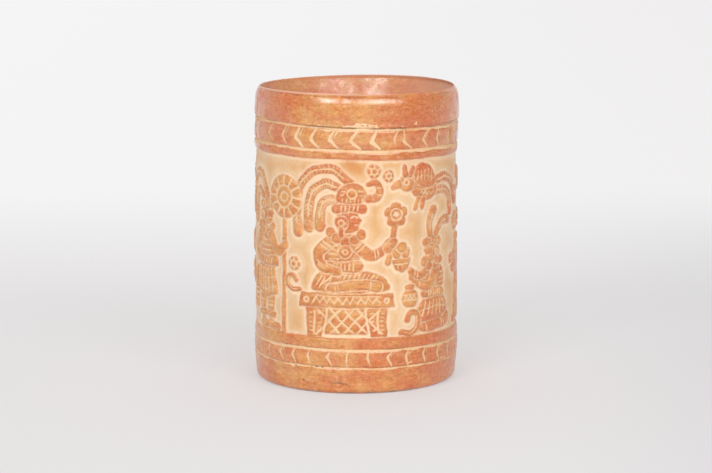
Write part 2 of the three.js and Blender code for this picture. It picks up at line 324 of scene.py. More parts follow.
def head():
    """A calm profile on plain proportions, with an ear spool."""
    return [
        patch([(-4.4, 0.4), (-4.9, 5), (-3.6, 9.2), (1, 10.6), (4.6, 9.2), (5.4, 6.6), (6.9, 4.7), (5.7, 3.9),
               (6.1, 2.9), (5.5, 2.2), (5.6, 1.1), (4.2, 0), (0, -0.6)]),
        cut([(2, 6.1), (3.6, 7), (5.2, 6.3)], 0.8),
        cut([(3.6, 2.6), (6.4, 2.5)], 0.7),
        disc(-2.6, 3.9, 3.0),
        ring(-2.6, 3.9, 1.4, 0.9),
        limb([(-2.8, 0.9), (-3.0, -1.9)], 1.6, 2),
    ]


def turban():
    """A wound head cloth."""
    return [limb([(-4.8, 9.0), (0.5, 10.9), (6.4, 9.2)], 3.6), *ticks((-3.8, 9.6), (5.2, 10.1), 4, 2.8, 0.85)]


def dignitary():
    """A figure seated cross-legged on a bench, holding a flowering staff."""
    return [
        *bench(),
        *plumes([(2, 76), (-6, 82), (-17, 80.6), (-24.4, 73), (-26.6, 61), (-25.4, 51)],
                [(-1, 72.4), (-9.4, 75.4), (-16.4, 71.4), (-19.6, 62.6), (-19.4, 53.6)],
                [(-1, 66.4), (-6.4, 68), (-10.8, 66), (-13, 60.6), (-13.2, 54.2)]),
        patch([(-14, 22.4), (-16.4, 26.4), (-13, 31.6), (-4, 33.4), (7, 32.6), (16, 30.6), (20.6, 26.6),
               (18.6, 22.6)]),
        *ticks((-3, 30.4), (16, 29.2), 9, 3.2, 0.7, slant=0.4),
        limb([(15.6, 24.8), (6, 26), (-3, 24.8), (-8, 24.4)], 4.8, 3.2),
        cut([(-12.6, 25.4), (-6, 30), (1, 31)], 0.9),
        *cuts(0.65, [(-14.8, 25.6), (-11.6, 30.4)], [(-13.4, 24), (-10, 29.6)], [(-10.6, 23.4), (-7, 28.4)],
              [(-4.6, 22.8), (-5.2, 26.6)], [(-3.2, 23), (-3.6, 26.8)], [(12, 22.8), (12.6, 27.2)]),
        patch([(-8.4, 33), (-10.6, 40), (-9.8, 48), (-5, 51.4), (3.4, 50.8), (7.6, 46.6), (6.6, 39),
               (5, 33)]),
        *cuts(0.7, [(-8.8, 46.6), (-4.2, 45)], [(-9.4, 44), (-4.6, 43)], [(-9.2, 41.4), (-4.6, 41)],
              [(-8.6, 38.8), (-3.8, 38.8)], [(3.4, 44.6), (7, 46)], [(3.8, 42.4), (7, 43)],
              [(3, 39), (6.4, 39)]),
        limb([(-9, 35), (-2, 34.4), (6, 35)], 4.6),
        *ticks((-7.4, 34.9), (4.8, 34.8), 6, 3.6, 0.75),
        limb([(-8, 47), (-14, 41), (-12, 35), (-4, 31.8)], 5.2, 3.6),
        *cuts(0.75, [(-11, 35.6), (-14.8, 38.2)], [(-10.4, 34), (-13.8, 36)], [(-8.6, 43.2), (-12.6, 45.8)],
              [(-7.4, 44.4), (-11.2, 47)]),
        limb([(4.4, 46.4), (11.4, 40.2), (18, 42.4), (22, 46.4)], 5.4, 3.4),
        *cuts(0.75, [(16.6, 39.4), (15.4, 44)], [(15, 38.8), (13.8, 43.4)], [(5.6, 41.8), (9.8, 45.4)],
              [(4.6, 43.2), (8.4, 46.8)]),
        *beads(0.4, 53.4, 8.4, 6.2, 200, 33, 5, 2.2),
        disc(-0.4, 42.4, 2.9),
        ring(-0.4, 42.4, 1.2, 0.85),
        *placed(head(), 0.8, 52.2, size=1.04),
        limb([(-4.6, 63), (2, 64.2), (8.6, 63)], 3.9),
        *ticks((-3, 63.4), (7, 63.6), 5, 3, 0.75),
        patch([(-3.4, 67), (-2.8, 73.4), (4, 75.6), (9.2, 73), (9.4, 67)]),
        ring(3.0, 71, 2.2, 0.9),
        *ticks((-2.4, 67.6), (8.8, 67.6), 6, 1.7, 0.65),
        *cuts(0.65, [(-2.6, 70.2), (-0.8, 70.6)], [(-2.2, 72.2), (-0.4, 72)], [(6.4, 70.2), (9, 69.6)],
              [(6.2, 72.2), (8.6, 72)]),
        limb([(11, 67.6), (14.8, 68.6), (16.8, 72), (15, 76), (11.6, 75.4)], 3.4, 2.2),
        *cuts(0.65, [(13.4, 66.6), (12.8, 70)], [(14.8, 70.8), (18, 69.8)], [(14.8, 73.2), (18.2, 73.6)]),
        limb([(21, 36.5), (23, 46), (24.6, 54)], 2.2),
        limb([(21.4, 43.4), (24.2, 46.6)], 4.4, 3.4),
        *cuts(0.6, [(20.6, 44.8), (22.6, 43)], [(21.8, 46.2), (24, 44.6)]),
        *[disc(25.4 + 3.7 * math.cos(t), 60 + 3.7 * math.sin(t), 2.3, "join")
          for t in np.radians([90, 162, 234, 306, 378])],
        ring(25.4, 60, 2.7, 0.95),
    ]


def kneeler():
    """A kneeling attendant who holds up a bowl of offerings."""
    return [
        limb([(13, 6), (10, 3.4), (-6, 3.2)], 4.6, 5.6),
        *cuts(0.7, [(9.6, 1.4), (8.8, 5.6)], [(7.9, 1.2), (7.1, 5.6)], [(-4.4, 0.8), (-4.8, 4.6)]),
        patch([(-8.6, 5.4), (-10.4, 10), (-6.8, 15.8), (1, 18.4), (9, 16.8), (12.8, 11.4), (10, 7.4)]),
        *[cut([(-7 + 3.2 * k, 7.8 + 0.2 * k), (-4.8 + 2.6 * k, 16 - 0.2 * k)], 0.8) for k in range(6)],
        cut([(-9.4, 10.6), (1, 12.4), (11.8, 10.8)], 0.65),
        patch([(-5, 18.6), (-6.8, 25), (-5.6, 31.6), (-1, 34.2), (5.6, 33), (9.2, 28), (8.6, 21.6),
               (6, 18.4)]),
        *cuts(0.7, [(4.4, 23.4), (8.4, 24)], [(4.8, 25.8), (9, 26.6)], [(5, 28.2), (8.8, 29.2)],
              [(4.6, 30.6), (7.6, 31.6)]),
        limb([(-6, 19), (0, 19.6), (8, 19)], 3.8),
        *ticks((-4.2, 19.2), (6.4, 19.2), 6, 3, 0.75),
        limb([(2.8, 30.8), (-2.6, 23), (-9, 24.6), (-13.6, 28.8)], 4.8, 3.2),
        limb([(-2.8, 31.8), (-8.8, 28.8), (-14.4, 31.6)], 3.8, 2.8),
        *cuts(0.65, [(-10.6, 28.2), (-10, 31.4)], [(-12, 28.6), (-11.6, 31.8)], [(-9.4, 22.8), (-8.4, 26)]),
        *beads(0.4, 37.4, 6.8, 4.8, 205, 42, 4, 1.9),
        *placed(head() + turban(), 0.6, 36, -1, 0.95),
        *plumes([(3, 48.6), (7, 53.6), (14, 54.4)], [(-2, 48.6), (-2.4, 54), (0.4, 60.4)], end=4.6),
        plate([(-25, 37.6), (-23, 33), (-19.6, 31.4), (-16.2, 33), (-14.2, 37.6)]),
        cut([(-23.8, 35.6), (-15.6, 35.6)], 0.75),
        *cuts(0.6, [(-21.8, 32.8), (-22.2, 34.6)], [(-19.6, 32), (-19.6, 34.6)],
              [(-17.4, 32.8), (-17, 34.6)]),
        disc(-22, 40.8, 2.3), disc(-17.2, 40.8, 2.3), disc(-19.6, 43.6, 2.5),
    ]


def standard_bearer():
    """A standing attendant with a tall feather standard."""
    return [
        limb([(-5, 2.2), (1.6, 1.8)], 4, 3), limb([(3.2, 2.2), (10, 1.8)], 4, 3),
        limb([(-4.6, 6), (-5, 11), (-4, 18)], 4, 6.6), limb([(4, 6), (3.6, 11), (3.8, 18)], 4, 6.6),
        limb([(-7, 7.4), (-2, 7.4)], 2.8), limb([(1.4, 7.4), (6.4, 7.4)], 2.8),
        plate([(-9.6, 18), (-7.4, 33.4), (7, 33.4), (9.8, 18.2), (0, 16)]),
        *[cut([(-7 + 3.4 * k, 18.6), (-5.4 + 2.6 * k, 32)], 0.8) for k in range(5)],
        *cuts(0.65, [(-9, 21.6), (0, 19.8), (9, 21.8)], [(-8.4, 26.4), (0, 25.2), (8.4, 26.6)]),
        *cuts(0.65, [(-7, 12), (-2, 12)], [(1.2, 12), (6, 12)], [(-7, 14), (-1.8, 14)],
              [(1.4, 14), (6.2, 14)]),
        patch([(-7, 34.6), (-8.8, 42.4), (-7.8, 48.8), (-2, 51), (4.8, 50), (7.6, 45), (6.6, 34.6)]),
        *cuts(0.7, [(-6.4, 47), (-2, 47.6)], [(-4.8, 44.4), (4.6, 44.6)], [(-4.4, 42), (4, 42)],
              [(-4, 39.4), (5, 39.4)]),
        limb([(-8.4, 34.4), (0, 33.8), (8, 34.4)], 4.2),
        *ticks((-6.6, 34.2), (6.4, 34.2), 6, 3.2, 0.75),
        limb([(-6.8, 47), (-12.4, 40.6), (-9.6, 34.8), (-4.6, 34)], 4.8, 3.4),
        limb([(-11.4, 29), (-13, 21), (-13.2, 11.4)], 3, 5.6), *ticks((-12.9, 19), (-13.2, 13), 3, 4.6, 0.9),
        *beads(-0.6, 53.8, 7.2, 5.4, 205, 42, 4, 1.9),
        *placed(head() + turban(), -0.4, 53, size=0.98),
        *plumes([(-3.4, 66), (-9.4, 68.4), (-13.4, 62), (-13.4, 54)],
                [(1, 66.6), (-4.4, 75.4), (-13, 76.4), (-18.6, 67), (-19, 57)], end=4.8),
        limb([(14, 1), (14.6, 30), (14.8, 56)], 2.2),
        limb([(4.8, 46.4), (9.6, 40), (15.4, 43.4)], 5, 3.6),
        disc(14.8, 67.4, 10.4),
        *rays(14.8, 67.4, 5.8, 10.8, 12), ring(14.8, 67.4, 5.2), ring(14.8, 67.4, 2.3),
    ]


def jaguar():
    """A jaguar seated upright, its tail raised behind."""
    spots = [(-9, 17), (-5.2, 22.4), (0, 25), (3, 19.6), (-3, 17.4), (-6.6, 9), (-1.6, 7), (7.6, 18),
             (8.4, 10)]
    return [
        limb([(-10, 5), (-16, 6), (-18.6, 13), (-16, 21), (-19.4, 28.6)], 4.2, 3.6),
        *ticks((-17.2, 10), (-17.2, 25), 4, 3.6, 0.9),
        patch([(-12.6, 1.8), (-14, 9), (-10.6, 19), (-6, 27), (0, 31), (6.6, 29), (7.8, 22), (5, 13),
               (3.4, 4), (-4, 1.4)]),
        limb([(5, 25), (8, 13), (8.6, 3.4), (12.2, 2.4)], 6, 4),
        patch([(-10.6, 3.6), (-11.4, 10), (-5, 13.6), (0.4, 10.2), (1.6, 5.4), (5.8, 4.4), (6, 1.6),
               (-4, 1.4)]),
        limb([(0.4, 39.6), (-1.4, 43.4)], 4.6, 2.8), limb([(8, 40), (7.6, 44)], 4.6, 2.6),
        patch([(-2.6, 28.4), (-4.2, 34), (-1, 39.8), (5, 41.4), (10.4, 39.4), (13.4, 36.6), (17.4, 35.6),
               (18.4, 33), (17.4, 31), (12.4, 31.4), (15.6, 29.4), (14.6, 27.2), (9, 26), (2, 26)]),
        ring(8.2, 36.2, 1.6, 0.95),
        cut([(17.4, 33.6), (14.8, 33.4)], 0.85),
        cut([(6, 31.6), (1.2, 29.6)], 0.85), cut([(5.2, 33.6), (0.4, 33.2)], 0.85),
        *[ring(across, up, 1.35, 0.9) for across, up in spots],
    ]


def plumed_bird():
    """A crested bird with long trailing plumes."""
    return [
        *plumes([(-4, 12), (-13, 14), (-22, 10.6), (-27, 1)],
                [(-4, 7.6), (-12, 8), (-18.6, 4), (-20.4, -4)], end=4.6),
        patch([(-7, 9), (-4, 14), (3, 15), (9, 12.4), (9.6, 7.6), (4, 4), (-3, 4.8)]),
        patch([(-6, 11.8), (-3, 19), (3.6, 21.6), (9, 18.6), (6.4, 12.4), (0, 9.6)]),
        *[cut([(-2.4 + 2.2 * k, 12.4 + 0.2 * k), (-3.2 + 2.4 * k, 18.8 - 0.2 * k)], 0.75) for k in range(5)],
        cut([(-3.6, 13.8), (2, 15.4), (7.4, 14.2)], 0.6),
        *[cut([(x, 6.4), (x + 1, 7.8), (x + 2, 6.6)], 0.6) for x in (-4.4, -1.8, 0.8, 3.4)],
        cut([(-3, 9.4), (2, 8.6), (7.6, 10)], 0.6),
        disc(12.8, 13, 3.9), ring(13.4, 13.6, 1.3, 0.9),
        limb([(17.4, 12.8), (20.4, 11.4)], 3, 2),
        limb([(11, 16.6), (9.4, 20)], 2.4, 2), limb([(13.4, 17), (14, 20.6)], 2.4, 2),
        limb([(2.6, 4), (3.2, 0)], 2.2), limb([(6.4, 4.2), (7.4, 0.2)], 2.2),
    ]


def rosette(radius):
    """A round flower with six petals."""
    petals = rays(0, 0, radius * 0.62, radius * 1.1, 6, 0.95, 30)
    return [disc(0, 0, radius), *petals, ring(0, 0, radius * 0.5, 0.95)]


def scroll():
    """A curled scroll that rises from the ground."""
    return [limb([(-1, 1.4), (4.6, 1), (9, 4.4), (8.6, 9.6), (4.4, 10.6), (2.4, 7.6)], 2.4, 3),
            cut([(1, 1.3), (4.4, 1.3), (8.2, 4.6), (8, 8.8), (5, 9.6)], 0.6)]


def jar():
    """A small two-handled jar with a banded neck."""
    return [
        patch([(-2.6, 0), (-4.6, 3), (-4, 6.4), (-2, 8.2), (-2.6, 10.6), (2.6, 10.6), (2, 8.2), (4, 6.4),
               (4.6, 3), (2.6, 0)]),
        *cuts(0.65, [(-2, 8), (2, 8)], [(-4, 5.6), (4, 5.6)], [(-4.4, 3), (4.4, 3)]),
        zigzag(-3.6, 3.6, 3.4, 5.2, 3, 0.55),
    ]


def water_lily():
    """A water lily with two leaves on a winding stem."""
    return [
        limb([(0, 0), (2.4, 8), (-1.6, 15), (1.4, 22)], 2.6),
        plate([(-7.4, 31.4), (-4, 23.6), (1.4, 21.4), (6.6, 24), (9.8, 31.4), (4.6, 28.4), (1.2, 33.6),
               (-2.4, 28.4)]),
        cut([(-3.2, 28), (0.2, 23)], 0.9), cut([(5.4, 28), (2.2, 23)], 0.9),
        patch([(3.4, 9.4), (8, 8), (11.4, 11.6), (7.6, 15), (4, 13)]), cut([(4.4, 11), (9.4, 11.6)], 0.85),
        patch([(-2.8, 15.6), (-7, 14.2), (-10.4, 17.6), (-6.8, 21), (-3.2, 19)]),
        cut([(-3.8, 17.4), (-8.4, 17.6)], 0.85),
    ]


def frieze():
    """The whole drawing round the drum, with up measured from the ground's lower edge."""
    places = (
        (dignitary(), -5, 0.8), (kneeler(), 43, 0.8), (plumed_bird(), 39, 63, -1),
        (standard_bearer(), -54, 0.8), (scroll(), 24, 0.8), (rosette(3.2), 9, 82.2),
        (rosette(2.6), 16.4, 79.6), (jar(), 28.4, 15, 1, 0.95), (rosette(3.2), -32.6, 36),
        (scroll(), -30, 22, -1, 0.75), (jaguar(), 78, 0.8, -1), (rosette(5), 68, 53), (rosette(5), 80, 53),
        (scroll(), 69, 68), (water_lily(), 104, 0.8, 1, 1.25), (water_lily(), -86, 0.8, -1, 1.5),
        (rosette(5.2), -86, 62), (rosette(4.6), -86, 76), (standard_bearer(), 140, 0.8),
        (jaguar(), -120, 0.8, 1, 1.15), (plumed_bird(), 99, 61.5, -1, 0.85), (rosette(4), 97, 50),
        (scroll(), 106, 47, 1, 0.8), (jar(), 118.6, 1, 1, 0.8), (rosette(2.6), 120.6, 23),
        (rosette(3), 113, 81.5), (plumed_bird(), -120, 61, 1, 0.95), (rosette(4), -133, 52),
        (rosette(4), -101, 54), (jar(), -152, 1, 1, 1.2), (rosette(3.4), -152, 22),
        (scroll(), -149, 31, -1, 0.8), (scroll(), -152, 75, 1, 0.8), (rosette(3.4), -153, 51),
    )
    return [mark for place in places for mark in placed(*place)]


# The chevrons of the front: angle of the tip in degrees from the front, how far the upper and the lower arm
# reach to the right of it and the width of the cut, in millimetres
UPPER_CHEVRONS = (
    (-69, 1.5, 1.6, 0.9), (-57, 2.6, 4.2, 1.05), (-45, 2.7, 2.9, 1.2), (-35, 1.8, 4.2, 1.65),
    (-25.4, 3.2, 4.3, 1.25), (-14.7, 2.6, 5.0, 1.35), (-3, 3.4, 4.9, 1.3), (8.3, 2.4, 4.4, 1.65),
    (27, 0.7, 4.8, 1.3), (39.6, 3.8, 3.9, 1.05), (51, 1.7, 2.6, 1.05), (63, 1.5, 2.2, 1.0),
    (75, 1.5, 1.6, 1.0),
)
LOWER_CHEVRONS = (
    (-71, 1.0, 1.6, 0.9), (-58, 1.4, 1.4, 0.8), (-47, 1.0, 1.8, 1.0), (-37.7, 1.3, 1.8, 1.25),
    (-27.8, 1.1, 1.6, 1.0), (-16, 1.1, 2.1, 1.05), (-5.3, 0.8, 0.4, 0.85), (6.1, 1.0, 1.7, 1.1),
    (17.7, 1.9, 2.1, 1.05), (28.7, 1.4, 1.1, 1.15), (40.3, 1.4, 1.6, 1.1), (51.7, 1.1, 2.0, 0.95),
    (63, 1.3, 1.1, 0.95),
)


def chevrons(seen, count, top, tip, foot, seed):
    """Chevrons that point left: the seen ones as listed, the rest evenly spaced on round the back."""
    random = np.random.default_rng(seed)
    gap = 360 - (seen[-1][0] - seen[0][0])
    hidden = count - len(seen)
    rest = []
    for i in range(hidden):
        like = seen[(5 * i + 3) % 10 + 1]
        rest.append((seen[-1][0] + gap * (i + 1) / (hidden + 1), *like[1:]))
    along = np.array([0.3, 0.56, 0.62, 0.52, 0.3])  # half widths of a cut as shares of its width
    marks = []
    for angle, lean, back, width in [*seen, *rest]:
        across = math.radians(angle) * BAND_RADIUS
        high, low, bow = 1 + 0.12 * random.uniform(-1, 1, 3)
        path = np.array([(across + lean, top * high), (across + 0.3 * lean * bow, tip + 0.42 * (top - tip)),
                         (across, tip), (across + 0.42 * back * bow, tip + 0.45 * (foot - tip)),
                         (across + back, foot * low)])
        marks.append(("cut", path, width * along))
        if random.random() < 0.5:
            marks.append(("cut", path[:3] + [width + 0.5, 0.1], width * np.array([0.16, 0.26, 0.1])))
    return marks


# Fields over the wall. Points are given as arrays of arc and height in millimetres.

def ripple(across, up, size, seed):
    """Smooth random values from -1 to 1 in patches of about that size, closed round the wall."""
    columns = max(3, round(ROUND / size))
    rows = int(RIM_TOP / size) + 4
    grid = np.random.default_rng(seed).uniform(-1, 1, (columns, rows))
    u = (across / ROUND * columns) % columns
    v = np.clip(up / size + 1, 0, rows - 1.001)
    i, j = u.astype(int), v.astype(int)
    s, t = u - i, v - j
    s, t = s * s * (3 - 2 * s), t * t * (3 - 2 * t)
    i, after = i % columns, (i + 1) % columns
    low = grid[i, j] * (1 - s) + grid[after, j] * s
    high = grid[i, j + 1] * (1 - s) + grid[after, j + 1] * s
    return low * (1 - t) + high * t


def distance(path, widths, across, up):
    """Distance in millimetres to a mark's edge, below zero inside it."""
    filled = widths is None
    ends = np.roll(path, -1, axis=0) if filled else path[1:]
    best = np.full(across.shape, 1e9)
    inside = np.zeros(across.shape, bool)
    for i, (start, end) in enumerate(zip(path, ends)):
        (ax, az), (dx, dz) = start, end - start
        t = np.clip(((across - ax) * dx + (up - az) * dz) / max(dx * dx + dz * dz, 1e-9), 0, 1)
        reach = np.hypot(across - ax - t * dx, up - az - t * dz)
        if filled and dz:
            inside ^= ((az > up) != (end[1] > up)) & (across < dx * (up - az) / dz + ax)
        elif not filled:
            reach -= widths[i] + (widths[i + 1] - widths[i]) * t
        best = np.minimum(best, reach)
    return np.where(inside, -best, best)


def carve(marks, across, up, reach=14.0):
    """Distances to the raised figures and to the incised lines at each point, below zero inside them."""
    figure = np.full(across.shape, reach)
    line = np.full(across.shape, reach)
    for kind, path, widths in marks:
        pad = 4.0 if kind == "cut" else reach
        middle = path[:, 0].mean()
        near_across = (across - middle + ROUND / 2) % ROUND - ROUND / 2 + middle
        (left, low), (right, high) = path.min(axis=0) - pad, path.max(axis=0) + pad
        near = (near_across > left) & (near_across < right) & (up > low) & (up < high)
        gap = distance(path, widths, near_across[near], up[near])
        if kind == "cut":
            line[near] = np.minimum(line[near], gap)
            continue
        below = figure[near]
        if kind == "over":
            below = np.maximum(below, MOAT - gap)
            line[near] = np.maximum(line[near], MOAT / 2 - gap)
        figure[near] = np.minimum(below, gap)
    return figure, line


def ramp(value, low, high):
    """0 below low, 1 above high and a soft step between."""
    t = np.clip((value - low) / (high - low), 0, 1)
    return t * t * (3 - 2 * t)


# The collar's outside from its foot over the lip to the mouth: how far below the rim and how far inside the
# collar's radius
LIP = ((15.2, 0.0), (10.2, 0.2), (6.8, 0.4), (5.6, 0.49), (4.8, 0.58), (4.1, 0.72), (3.5, 0.89), (2.8, 1.12),
       (2.1, 1.38), (1.6, 1.62), (1.1, 1.92), (0.7, 2.18), (0.4, 2.38), (0.15, 2.6), (0.0, 2.86),
       (0.12, 3.04), (0.4, 3.12), (1.0, 3.16))


# Where the slip turns ochre (towards 1) or red (towards -1): for each height, by angle in degrees
TONES = (
    (8, ((-90, 0.1), (-60, 0.1), (-40, 0.4), (-20, 0.2), (0, 0.2), (25, -0.2), (50, -0.5), (80, -0.1),
         (180, 0.3))),
    (26, ((-90, 0.1), (-50, 0.6), (-20, 0.4), (10, -0.2), (40, -0.2), (70, -0.1), (180, 0.2))),
    (45, ((-90, 0.9), (-50, 0.9), (-20, 0.5), (20, 0.7), (50, 0.7), (90, 0.4), (180, 0.2))),
    (75, ((-90, 0.9), (-50, 0.8), (-20, 0.6), (20, 0.1), (60, 0.1), (90, 0.3), (180, 0.2))),
    (106, ((-90, 0.6), (-50, 0.6), (-15, 0), (20, -0.2), (60, -0.3), (90, 0.2), (180, 0.2))),
    # At 114 the red drift also browns the ground at the front just under the upper moulding: painted shade
    # under it.
    (114, ((-90, 0.1), (-50, -0.3), (-20, -1.0), (30, -1.0), (60, -0.5), (90, 0), (180, 0))),
    (118, ((-90, 0), (-60, -0.2), (-35, 0.2), (0, 0.2), (20, -0.1), (50, -0.3), (80, 0), (180, 0.2))),
    (138, ((-90, -0.2), (-62, -0.7), (-44, -0.5), (-33, 0.6), (-22, 0.5), (12, 0.4), (26, 0.1), (40, -0.8),
           (62, -0.2), (180, 0.2))),
)


def tone(across, up):
    """The broad drift of the slip's colour at each point."""
    angle = np.degrees(across / BAND_RADIUS)
    drift = np.zeros(across.shape)
    heights_up = [height for height, _ in TONES]
    rows = np.array([np.interp(angle, *zip(*row), period=360) for _, row in TONES])
    for index, height in enumerate(heights_up):
        share = np.interp(up, heights_up, np.eye(len(TONES))[index])
        drift += share * rows[index]
    return drift + 0.3 * ripple(across, up, 26, 71)


# Knocks on the front: arc from the front, height, radius and depth of each dimple
DENTS = ((-27.5, 5.5, 0.9, 0.5), (-25.2, 4.6, 0.6, 0.4), (-7.2, 22.7, 0.7, 0.6), (-6.2, 22.0, 0.6, 0.5),
         (-12.8, 13.2, 0.5, 0.4), (33, 24.6, 0.8, 0.25), (12, 8.2, 1.2, 0.2), (-40, 8, 1.6, 0.25))

# Places where handling has dulled the burnish, or polished it where the share is negative: arc, height,
# radius and share
RUBBED = ((6.5, 143.6, 1.0, 0.3), (12, 140.4, 1.2, 0.4), (18.5, 142, 1.8, 0.5), (-3, 141.6, 1.6, 0.5),
          (-12.6, 140, 1.2, 0.3), (-20, 142, 1.6, 0.4), (151, 138, 3.6, -0.5))

# Nicks and crumbs that show bare clay
SCRATCHES = [
    cut([(-6, 131.6), (1, 131.8), (10, 130.9)], 1.9), cut([(-1, 132.6), (4, 133.1), (10, 132.1)], 1.4),
    cut([(7, 132.6), (13, 132.6), (19, 132.0)], 0.5), cut([(23, 132.9), (34, 131.9)], 0.5),
    cut([(26, 133.7), (32, 133.3)], 0.4), cut([(-19, 132.4), (-15, 132.4)], 0.4),
    cut([(20, 131.9), (26, 131.4)], 0.4), cut([(-9.6, 134.2), (-7.8, 134.3)], 0.45),
    cut([(12, 134.6), (14.6, 134.5)], 0.4), cut([(-35.4, 13.9), (-32.6, 12.4)], 1.1),
    cut([(46.5, 13.2), (50, 13.9), (54, 13.6)], 1.1), cut([(26.5, 14.2), (28.5, 15)], 0.7),
    cut([(50.5, 137.2), (50.6, 142.2)], 0.35), cut([(41.4, 138), (41.9, 138.2)], 0.7),
]

# A firing crack in the foot and dark pits
CRACKS = [
    cut([(-12.4, 5.4), (-8.6, 5.7), (-5.0, 5.0), (-1.6, 3.2)], 0.8), cut([(-28.0, 6.2), (-27.2, 5.4)], 0.7),
    cut([(-26.4, 5.2), (-25.4, 4.7)], 0.5), cut([(-8.4, 23.6), (-6.4, 22.6)], 0.7),
    cut([(-20.8, 13.7), (-19.4, 13.4)], 0.75), cut([(-17.6, 13.4), (-16.6, 13.3)], 0.6),
    cut([(-14.4, 13.2), (-13.2, 13)], 0.8), cut([(-11.8, 13.6), (-11.6, 12.4)], 0.6),
    cut([(-9.8, 13), (-9.2, 12.9)], 0.6), cut([(-23.6, 13.8), (-22.8, 13.6)], 0.65),
    cut([(33.4, 13.9), (34.2, 13.6)], 0.6),
]


class Relief:
    """Points of the outer skin: how deep they lie and how far it is to slip, to cuts and to dark lines, which
    are painted shade in grooves and creases, and cracks.
    """

    def __init__(self, across, up):
        self.across = across
        self.up = up
        self.depth = np.zeros(across.shape)
        self.figure = np.full(across.shape, -FAR)
        self.cut = np.full(across.shape, FAR)
        self.shade_and_crack_line = np.full(across.shape, FAR)
        self.rag = 0.16 * ripple(across, up, 1.3, 33) + 0.14 * ripple(across, up, 3.1, 34)


